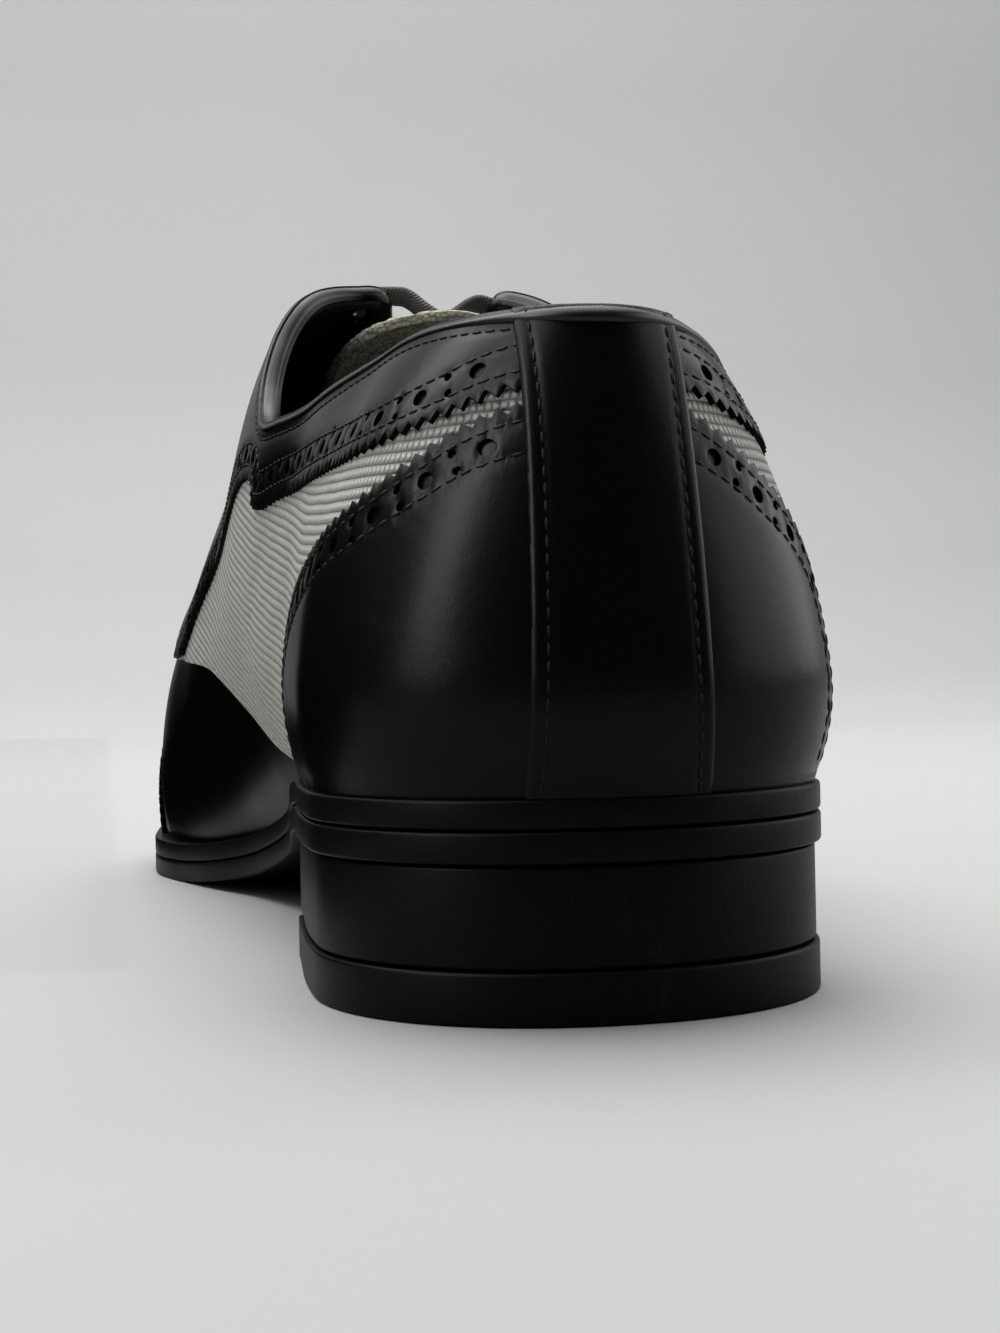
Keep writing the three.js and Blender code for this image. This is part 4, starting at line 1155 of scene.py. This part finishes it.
def sweep_rim():
    u = np.concatenate([rim_line[MEDIAL][0][::-1], rim_line[LATERAL][0][1:]])
    v = np.concatenate([rim_line[MEDIAL][1][::-1], rim_line[LATERAL][1][1:]])
    u, v = even_line(u, v, 0.8)
    p = last_point(u, v)
    along, normal, out = tangent_frame(u, v)
    above = -out
    kernel = np.ones(5) / 5
    for k in range(3):
        above[2:-2, k] = np.convolve(above[:, k], kernel, "valid")
        normal[2:-2, k] = np.convolve(normal[:, k], kernel, "valid")
    profile = np.array(RIM_PROFILE)
    back = 1 + 0.55 * np.exp(-(u / 0.075) ** 2)[:, None, None]
    offset = normal[:, None] * profile[None, :, :1] + above[:, None] * profile[None, :, 1:]
    ring = p[:, None] + offset * back
    n, m = len(p), len(profile)
    faces = []
    for i in range(n - 1):
        for k in range(m):
            a, b = i * m + k, i * m + (k + 1) % m
            faces.append((a, b, b + m, a + m))
    faces.append(tuple(range(m))[::-1])
    faces.append(tuple(range((n - 1) * m, n * m)))
    run = run_along(p)
    uv = np.stack(np.broadcast_arrays(run[:, None] / 10, profile[None, :, 1] / 10), -1).reshape(-1, 2)
    return outward(mesh_object("rim_binding", ring.reshape(-1, 3), faces, smooth_angle=70, uv=uv))


binding = sweep_rim()

# %% [markdown]
# ## Stitching with Geometry Nodes
# A seam is the same short stitch again and again, so a node tree makes it. The places are loose
# vertices that carry two named directions, along the seam and out of the leather. The tree puts
# one small bead of thread on each, turned both ways, and makes the result real.

# %% A node tree that sews
def sewing_tree(name, material):
    tree = bpy.data.node_groups.new(name, "GeometryNodeTree")
    face = tree.interface
    face.new_socket("Geometry", in_out="INPUT", socket_type="NodeSocketGeometry")
    sizes = {}
    for label, value in (("Stitch length", 0.0018), ("Stitch width", 0.00055), ("Stitch height", 0.0005)):
        socket = face.new_socket(label, in_out="INPUT", socket_type="NodeSocketFloat")
        socket.default_value = value
        sizes[label] = socket.identifier
    face.new_socket("Geometry", in_out="OUTPUT", socket_type="NodeSocketGeometry")
    nodes, links = tree.nodes, tree.links
    start, end = nodes.new("NodeGroupInput"), nodes.new("NodeGroupOutput")
    bead = nodes.new("GeometryNodeMeshUVSphere")
    bead.inputs["Segments"].default_value = 8
    bead.inputs["Rings"].default_value = 5
    bead.inputs["Radius"].default_value = 0.5
    size = nodes.new("ShaderNodeCombineXYZ")
    links.new(start.outputs["Stitch length"], size.inputs["X"])
    links.new(start.outputs["Stitch width"], size.inputs["Y"])
    links.new(start.outputs["Stitch height"], size.inputs["Z"])
    along, out = nodes.new("GeometryNodeInputNamedAttribute"), nodes.new("GeometryNodeInputNamedAttribute")
    for node, label in ((along, "along"), (out, "out")):
        node.data_type = "FLOAT_VECTOR"
        node.inputs["Name"].default_value = label
    turn = nodes.new("FunctionNodeAxesToRotation")
    turn.primary_axis, turn.secondary_axis = "X", "Z"
    links.new(along.outputs["Attribute"], turn.inputs["Primary Axis"])
    links.new(out.outputs["Attribute"], turn.inputs["Secondary Axis"])
    place = nodes.new("GeometryNodeInstanceOnPoints")
    links.new(start.outputs["Geometry"], place.inputs["Points"])
    links.new(bead.outputs["Mesh"], place.inputs["Instance"])
    links.new(turn.outputs["Rotation"], place.inputs["Rotation"])
    links.new(size.outputs["Vector"], place.inputs["Scale"])
    real = nodes.new("GeometryNodeRealizeInstances")
    links.new(place.outputs["Instances"], real.inputs["Geometry"])
    finish = nodes.new("GeometryNodeSetMaterial")
    finish.inputs["Material"].default_value = material
    links.new(real.outputs["Geometry"], finish.inputs["Geometry"])
    links.new(finish.outputs["Geometry"], end.inputs["Geometry"])
    return tree, sizes


STITCH_PITCH, STITCH_LENGTH, STITCH_WIDTH, STITCH_SINK = 2.2, 1.75, 0.5, 0.08

def sew(name, lines, height, material):
    """Stitches along lines on the last, on leather of the given height."""
    places, alongs, outs = [], [], []
    for line in lines:
        u, v = even_line(*line, STITCH_PITCH)
        along, normal, _ = tangent_frame(u, v)
        on = last_point(u, v)
        places.append(on + normal * (height - STITCH_SINK + creases(on))[:, None])
        alongs.append(along)
        outs.append(normal)
    mesh = bpy.data.meshes.new(name + "_places")
    mesh.from_pydata([tuple(p) for p in (np.vstack(places) + SHIFT) / 1000], [], [])
    for label, rows in (("along", alongs), ("out", outs)):
        layer = mesh.attributes.new(label, "FLOAT_VECTOR", "POINT")
        layer.data.foreach_set("vector", np.vstack(rows).ravel())
    holder = bpy.data.objects.new(name, mesh)
    bpy.context.collection.objects.link(holder)
    tree, sizes = sewing_tree(name + "_tree", material)
    modifier = holder.modifiers.new("sew", "NODES")
    modifier.node_group = tree
    modifier[sizes["Stitch length"]] = STITCH_LENGTH / 1000
    modifier[sizes["Stitch width"]] = STITCH_WIDTH / 1000
    modifier[sizes["Stitch height"]] = 0.8 * STITCH_WIDTH / 1000
    ready = holder.evaluated_get(bpy.context.evaluated_depsgraph_get())
    result = bpy.data.meshes.new_from_object(ready)
    holder.modifiers.clear()
    holder.data = result
    result.polygons.foreach_set("use_smooth", [True] * len(result.polygons))
    bpy.data.meshes.remove(mesh)
    print(f"{name}: {sum(len(p) for p in places)} stitches, {len(result.polygons)} faces")
    return holder


# %% [markdown]
# ## Finishes
# The materials are procedural. A small class wraps a socket, so that shader maths reads as plain
# expressions. Fine grain, dents and scuffs are bump and roughness; base colours stay dark and
# even on the leather, as a polished shoe's do.

# %% Shader helper
class Link:
    def __init__(self, kit, socket):
        self.kit, self.socket = kit, socket

    def _maths(self, operation, a, b):
        return self.kit.node("ShaderNodeMath", {"operation": operation}, {0: a, 1: b})[0]

    def __add__(self, other):
        return self._maths("ADD", self, other)

    def __radd__(self, other):
        return self._maths("ADD", other, self)

    def __sub__(self, other):
        return self._maths("SUBTRACT", self, other)

    def __rsub__(self, other):
        return self._maths("SUBTRACT", other, self)

    def __mul__(self, other):
        return self._maths("MULTIPLY", self, other)

    def __rmul__(self, other):
        return self._maths("MULTIPLY", other, self)

    def at_least(self, other):
        return self._maths("MAXIMUM", self, other)

    def floor(self):
        return self._maths("FLOOR", self, 0.0)

    def power(self, other):
        return self._maths("POWER", self, other)


class Finish:
    def __init__(self, name):
        self.material = bpy.data.materials.new(name)
        self.material.use_nodes = True
        self.tree = self.material.node_tree
        self.tree.nodes.clear()
        self.out = self.tree.nodes.new("ShaderNodeOutputMaterial")
        self.shader = self.tree.nodes.new("ShaderNodeBsdfPrincipled")
        self.tree.links.new(self.shader.outputs[0], self.out.inputs["Surface"])

    def node(self, kind, settings=None, inputs=None):
        made = self.tree.nodes.new(kind)
        for key, value in (settings or {}).items():
            if key == "stops":
                ramp = made.color_ramp
                while len(ramp.elements) < len(value):
                    ramp.elements.new(0.5)
                for element, (at, color) in zip(ramp.elements, value):
                    element.position = at
                    element.color = (*color, 1) if isinstance(color, tuple) else (color,) * 3 + (1,)
            else:
                setattr(made, key, value)
        for key, value in (inputs or {}).items():
            self.feed(made.inputs[key], value)
        return [Link(self, s) for s in made.outputs]

    def feed(self, socket, value):
        if isinstance(value, Link):
            self.tree.links.new(value.socket, socket)
        elif isinstance(value, tuple) and len(value) == 3 and socket.type == "RGBA":
            socket.default_value = (*value, 1)
        else:
            socket.default_value = value

    def set(self, **values):
        for key, value in values.items():
            self.feed(self.shader.inputs[key.replace("_", " ")], value)
        return self

    def object_place(self, scale=(1, 1, 1)):
        place = self.node("ShaderNodeTexCoord")[3]
        return self.node("ShaderNodeMapping", None, {"Vector": place, "Scale": scale})[0]

    def own_uv(self, scale=(1, 1, 1)):
        place = self.node("ShaderNodeTexCoord")[2]
        return self.node("ShaderNodeMapping", None, {"Vector": place, "Scale": scale})[0]

    def noise(self, place, scale, detail=4.0, rough=0.5):
        return self.node("ShaderNodeTexNoise", None,
                         {"Vector": place, "Scale": scale, "Detail": detail, "Roughness": rough})[0]

    def ramp(self, value, *stops):
        return self.node("ShaderNodeValToRGB", {"stops": stops}, {"Fac": value})[0]

    def mix(self, factor, a, b):
        made = self.tree.nodes.new("ShaderNodeMix")
        made.data_type = "RGBA"
        self.feed(made.inputs[0], factor)
        self.feed(made.inputs[6], a)
        self.feed(made.inputs[7], b)
        return Link(self, made.outputs[2])

    def bump(self, height, distance, strength=1.0, below=None):
        inputs = {"Height": height, "Distance": distance, "Strength": strength}
        if below is not None:
            inputs["Normal"] = below
        return self.node("ShaderNodeBump", None, inputs)[0]


# %% [markdown]
# ## Polished leather
# Painted maps could carry the wear. Noise does it here: fine pores and low dents go into the bump,
# wear and scuffs into the roughness, and the colour stays near black. A low specular level keeps
# the pale floor out of the leather, so only the lamps draw highlights on it.

# %% Black leather, polished
def polished_leather(name, specular, gloss):
    f = Finish(name)
    place = f.object_place()
    pores = f.node("ShaderNodeTexVoronoi", {"feature": "DISTANCE_TO_EDGE"},
                   {"Vector": place, "Scale": 1700.0})[0]
    grain = f.noise(place, 520, 6, 0.6)
    dents = f.noise(place, 48, 2, 0.45)
    wear = f.noise(place, 30, 5, 0.65)
    scuff = f.node("ShaderNodeTexNoise", None, {
        "Vector": f.object_place((1, 0.35, 1)), "Scale": 420.0, "Detail": 3.0, "Roughness": 0.7})[0]
    scuff_mask = f.ramp(scuff, (0.66, 0.0), (0.76, 1.0)) * f.ramp(wear, (0.52, 0.0), (0.7, 1.0))
    color = f.mix(wear, (0.0016, 0.0016, 0.0017), (0.0034, 0.0034, 0.0034))
    color = f.mix(scuff_mask * 0.35, color, (0.02, 0.02, 0.02))
    small = f.bump(pores.power(0.6), 0.00003, 0.22)
    normal = f.bump(grain * 0.25 + dents * 1.5, 0.0003, 0.4, small)
    f.set(Base_Color=color, Roughness=gloss + 0.12 * wear + 0.22 * scuff_mask, Normal=normal,
          Specular_IOR_Level=specular)
    return f.material


# %% [markdown]
# ## Ribbed white cloth
# The weave is ribs of small beads. The panel's UV map is in centimetres along the side and up it,
# so ribs and beads have a true pitch. A darker colour is mixed in where the height is low: painted
# shade in the grooves between ribs and beads.

# %% White ribbed quarter
RIB_PITCH, BEAD_PITCH = 1.42, 1.05


def ribbed_white():
    f = Finish("quarter_white_ribbed")
    split = f.node("ShaderNodeSeparateXYZ", None, {"Vector": f.own_uv()})
    along, up = split[0], split[1]
    sway = f.noise(f.own_uv((0.45, 1, 1)), 1.4, 2, 0.5)
    rows = (up + sway * 0.06) * (10 / RIB_PITCH)
    row = rows.floor()
    in_row = rows - row
    start = f.node("ShaderNodeTexWhiteNoise", {"noise_dimensions": "1D"}, {"W": row})[0]
    beads = along * (10 / BEAD_PITCH) + start * 3.0 + sway * 0.8
    in_bead = beads - beads.floor()
    ridge = 1 - (in_row - 0.5) * (in_row - 0.5) * 4
    bead = 1 - (in_bead - 0.5) * (in_bead - 0.5) * 4
    uneven = f.noise(f.object_place(), 320, 3, 0.6)
    height = ridge * (0.3 + 0.7 * bead.at_least(0.0).power(0.6)) + uneven * 0.25
    # Painted shade: the grooves of the weave are darkened in the colour below; the same mask also roughens
    # them.
    groove = f.ramp(height, (0.12, 1.0), (0.95, 0.0))
    tone = f.noise(f.object_place(), 40, 4, 0.6)
    color = f.mix(tone, (0.56, 0.56, 0.50), (0.70, 0.69, 0.63))
    color = f.mix(groove * 0.72, color, (0.10, 0.10, 0.09))
    f.set(Base_Color=color, Roughness=0.6 + 0.2 * groove, Normal=f.bump(height, 0.0006, 1.0))
    return f.material


# %% [markdown]
# ## Rubber, lining, cloths and thread
# The other finishes are built in the same way, from one or two noises each. Then the pieces are
# dressed, and the stitches are sewn last, because their node tree sets its own material.

# %% Rubber, lining, tongue cloth, lace and thread
def sole_rubber():
    f = Finish("sole_rubber_black")
    place = f.object_place()
    grain = f.noise(place, 1500, 4, 0.6)
    wear = f.noise(place, 35, 5, 0.6)
    dust = f.ramp(f.noise(f.object_place((1, 1, 0.3)), 130, 5, 0.7), (0.6, 0.0), (0.75, 1.0))
    color = f.mix(wear, (0.0022, 0.0022, 0.0023), (0.005, 0.005, 0.005))
    color = f.mix(dust * 0.25, color, (0.025, 0.025, 0.024))
    f.set(Base_Color=color, Roughness=0.36 + 0.14 * wear, Normal=f.bump(grain, 0.0001, 0.4),
          Specular_IOR_Level=0.055)
    return f.material


def soft_lining():
    f = Finish("lining_dark")
    place = f.object_place()
    grain = f.noise(place, 900, 5, 0.6)
    tone = f.noise(place, 50, 3, 0.5)
    color = f.mix(tone, (0.012, 0.012, 0.012), (0.022, 0.022, 0.022))
    f.set(Base_Color=color, Roughness=0.5 + 0.1 * tone, Normal=f.bump(grain, 0.0001, 0.4))
    return f.material


def nubby_cloth():
    f = Finish("tongue_nubby")
    place = f.object_place()
    nubs = f.node("ShaderNodeTexVoronoi", None, {"Vector": place, "Scale": 1100.0})[0]
    tone = f.noise(place, 260, 4, 0.6)
    color = f.mix(tone, (0.48, 0.465, 0.32), (0.84, 0.81, 0.63))
    # Painted shade: the hollows between the nubs, where the bump is low, are darkened in the colour.
    color = f.mix(f.ramp(nubs, (0.35, 0.0), (0.8, 1.0)) * 0.6, color, (0.07, 0.065, 0.045))
    f.set(Base_Color=color, Roughness=0.85, Normal=f.bump(1 - nubs, 0.0004, 0.9))
    return f.material


def woven_lace():
    f = Finish("lace_woven")
    weave = f.node("ShaderNodeTexWave", {"wave_type": "BANDS", "bands_direction": "DIAGONAL"},
                   {"Vector": f.own_uv(), "Scale": 9.0, "Distortion": 0.4})[1]
    tone = f.noise(f.object_place(), 700, 3, 0.6)
    color = f.mix(tone, (0.03, 0.03, 0.031), (0.15, 0.15, 0.152))
    f.set(Base_Color=color, Roughness=0.7, Normal=f.bump(weave, 0.0003, 0.8))
    return f.material


def waxed_thread(name, dark, light):
    f = Finish(name)
    tone = f.noise(f.object_place(), 1200, 2, 0.5)
    f.set(Base_Color=f.mix(tone, dark, light), Roughness=0.5, Normal=f.bump(tone, 0.00005, 0.6),
          Specular_IOR_Level=0.12)
    return f.material


leather = polished_leather("leather_black_polished", 0.09, 0.24)
rim_leather = polished_leather("leather_black_rim", 0.3, 0.32)
white = ribbed_white()
rubber = sole_rubber()
lining = soft_lining()
nubby = nubby_cloth()
lace_cloth = woven_lace()
thread = waxed_thread("thread_black", (0.003, 0.003, 0.003), (0.011, 0.011, 0.011))
strip_thread = waxed_thread("thread_strip", (0.0015, 0.0015, 0.0015), (0.004, 0.004, 0.004))


def dress(obj, *materials):
    obj.data.materials.clear()
    for material in materials:
        obj.data.materials.append(material)
    return obj


dress(upper, leather, lining, lining)
for piece in (*counters.values(), *bands.values(), wing, strip):
    dress(piece, leather, leather, leather)
for piece in quarters.values():
    dress(piece, white, white, white)
dress(tongue, nubby, nubby, nubby)
for pieces, material in (([binding], rim_leather), ([insole], lining), (laces, lace_cloth),
                         ([welt, outsole, heel, lift_piece], rubber)):
    for piece in pieces:
        dress(piece, material)
stitches = sew("seam_stitches", stitch_lines["overlay"], OVERLAY_TOP, thread)
strip_stitches = sew("strip_stitches", stitch_lines["strip"], STRIP_HIGH, strip_thread)

# %% [markdown]
# ## The pieces ride on the body
# Every piece rides on the one rigid body, and the CAD nodes that it stands for, where it has any, are
# hidden.

# %% Ride and replace
handed = [
    (upper, "woven_white", ["upper"]), (quarters[MEDIAL], "woven_white", []),
    (quarters[LATERAL], "woven_white", []),
    (counters[MEDIAL], "leather_black", ["counter_medial"]),
    (counters[LATERAL], "leather_black", ["counter_lateral"]),
    (bands[MEDIAL], "leather_black", ["band_medial"]),
    (bands[LATERAL], "leather_black", ["band_lateral"]),
    (wing, "leather_black", ["wing_cap"]), (strip, "leather_black", ["back_strip"]),
    (binding, "leather_black", []), (tongue, "tongue_beige", ["tongue"]),
    (insole, "lining_sock", ["insole"]), (stitches, "leather_black", []),
    (strip_stitches, "leather_black", []), (welt, "rubber_black", ["welt"]),
    (outsole, "rubber_black", ["outsole"]), (heel, "rubber_black", ["heel_block"]),
    (lift_piece, "rubber_black", ["top_lift"]),
]
handed += [(piece, "lace_black", [f"lace_bar_{i + 1}"]) for i, piece in enumerate(laces)]
for piece, slot_name, nodes in handed:
    if nodes:
        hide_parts(*nodes)
    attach(piece, "root")
print("pieces handed over:", len(handed))

# %% [markdown]
# ## Floor and light
# A pale sweep carries the soft shadow. The top box lights the shoe and the floor, and the backdrop
# box the wall. Three more boxes are seen only in reflections: they draw the long highlights on the
# heel, the counters and the collar band. A black card, also seen only in reflections, keeps the
# inner side of the vamp dark.

# %% Floor, lights and world
def pale_sweep():
    profile = [(-0.62, 0.0), (0.9, 0.0), (1.25, 0.03), (1.55, 0.14), (1.75, 0.36), (1.82, 0.7), (1.84, 2.6)]
    verts = [(x, y, z) for y, z in profile for x in (-3.0, 3.0)]
    faces = [(2 * i, 2 * i + 1, 2 * i + 3, 2 * i + 2) for i in range(len(profile) - 1)]
    mesh = bpy.data.meshes.new("floor")
    mesh.from_pydata(verts, [], faces)
    mesh.polygons.foreach_set("use_smooth", [True] * len(faces))
    made = bpy.data.objects.new("floor", mesh)
    bpy.context.collection.objects.link(made)
    f = Finish("floor_pale")
    tone = f.noise(f.object_place(), 3.0, 3, 0.5)
    f.set(Base_Color=f.mix(tone, (0.60, 0.61, 0.605), (0.63, 0.635, 0.63)), Roughness=0.75)
    made.data.materials.append(f.material)
    return made


def soft_light(name, place, target, size, power):
    data = bpy.data.lights.new(name, "AREA")
    data.shape = "RECTANGLE"
    data.size, data.size_y = size
    data.energy = power
    made = bpy.data.objects.new(name, data)
    made.location = place
    made.rotation_euler = (Vector(target) - Vector(place)).to_track_quat("-Z", "Y").to_euler()
    bpy.context.collection.objects.link(made)
    return made


def black_card():
    """Seen only in reflections: it keeps the inner side of the vamp dark."""
    mesh = bpy.data.meshes.new("card")
    verts = [(x, y, z) for x, z in ((-0.062, 0.003), (-0.2, 0.004), (-0.2, 0.2)) for y in (-0.08, 0.95)]
    mesh.from_pydata(verts, [], [(0, 1, 3, 2), (2, 3, 5, 4)])
    made = bpy.data.objects.new("card", mesh)
    bpy.context.collection.objects.link(made)
    f = Finish("card_black")
    f.set(Base_Color=(0.001, 0.001, 0.001), Roughness=1.0, Specular_IOR_Level=0.0)
    mesh.materials.append(f.material)
    made.visible_camera = made.visible_diffuse = made.visible_shadow = False
    return made


pale_sweep()
black_card()
left_box = soft_light("left_box", (-1.27, -0.62, 0.7), (0, -0.1, 0.05), (0.46, 0.9), 12.5)
right_box = soft_light("right_box", (1.25, -0.08, 0.62), (0, -0.1, 0.05), (1.8, 1.1), 16)
high_box = soft_light("high_box", (-0.8, 0.0, 0.98), (0, -0.08, 0.08), (1.7, 0.8), 19)
for box in (left_box, right_box, high_box):
    box.visible_diffuse = False
soft_light("top_box", (-0.1, 0.15, 1.5), (0, 0, 0), (1.4, 1.4), 20.5)
soft_light("backdrop_box", (0.2, 1.0, 1.9), (0.2, 1.35, 0.2), (3.4, 0.8), 26)
world = bpy.data.worlds.new("studio")
world.use_nodes = True
sky, tree = world.node_tree.nodes["Background"], world.node_tree
seen = tree.nodes.new("ShaderNodeLightPath")
tone = tree.nodes.new("ShaderNodeMix")
tone.inputs[2].default_value, tone.inputs[3].default_value = 0.04, 0.52
tree.links.new(seen.outputs["Is Camera Ray"], tone.inputs[0])
tree.links.new(tone.outputs[0], sky.inputs["Strength"])
sky.inputs["Color"].default_value = (1, 1, 1, 1)
bpy.context.scene.world = world
bpy.context.scene.view_settings.view_transform = "Standard"
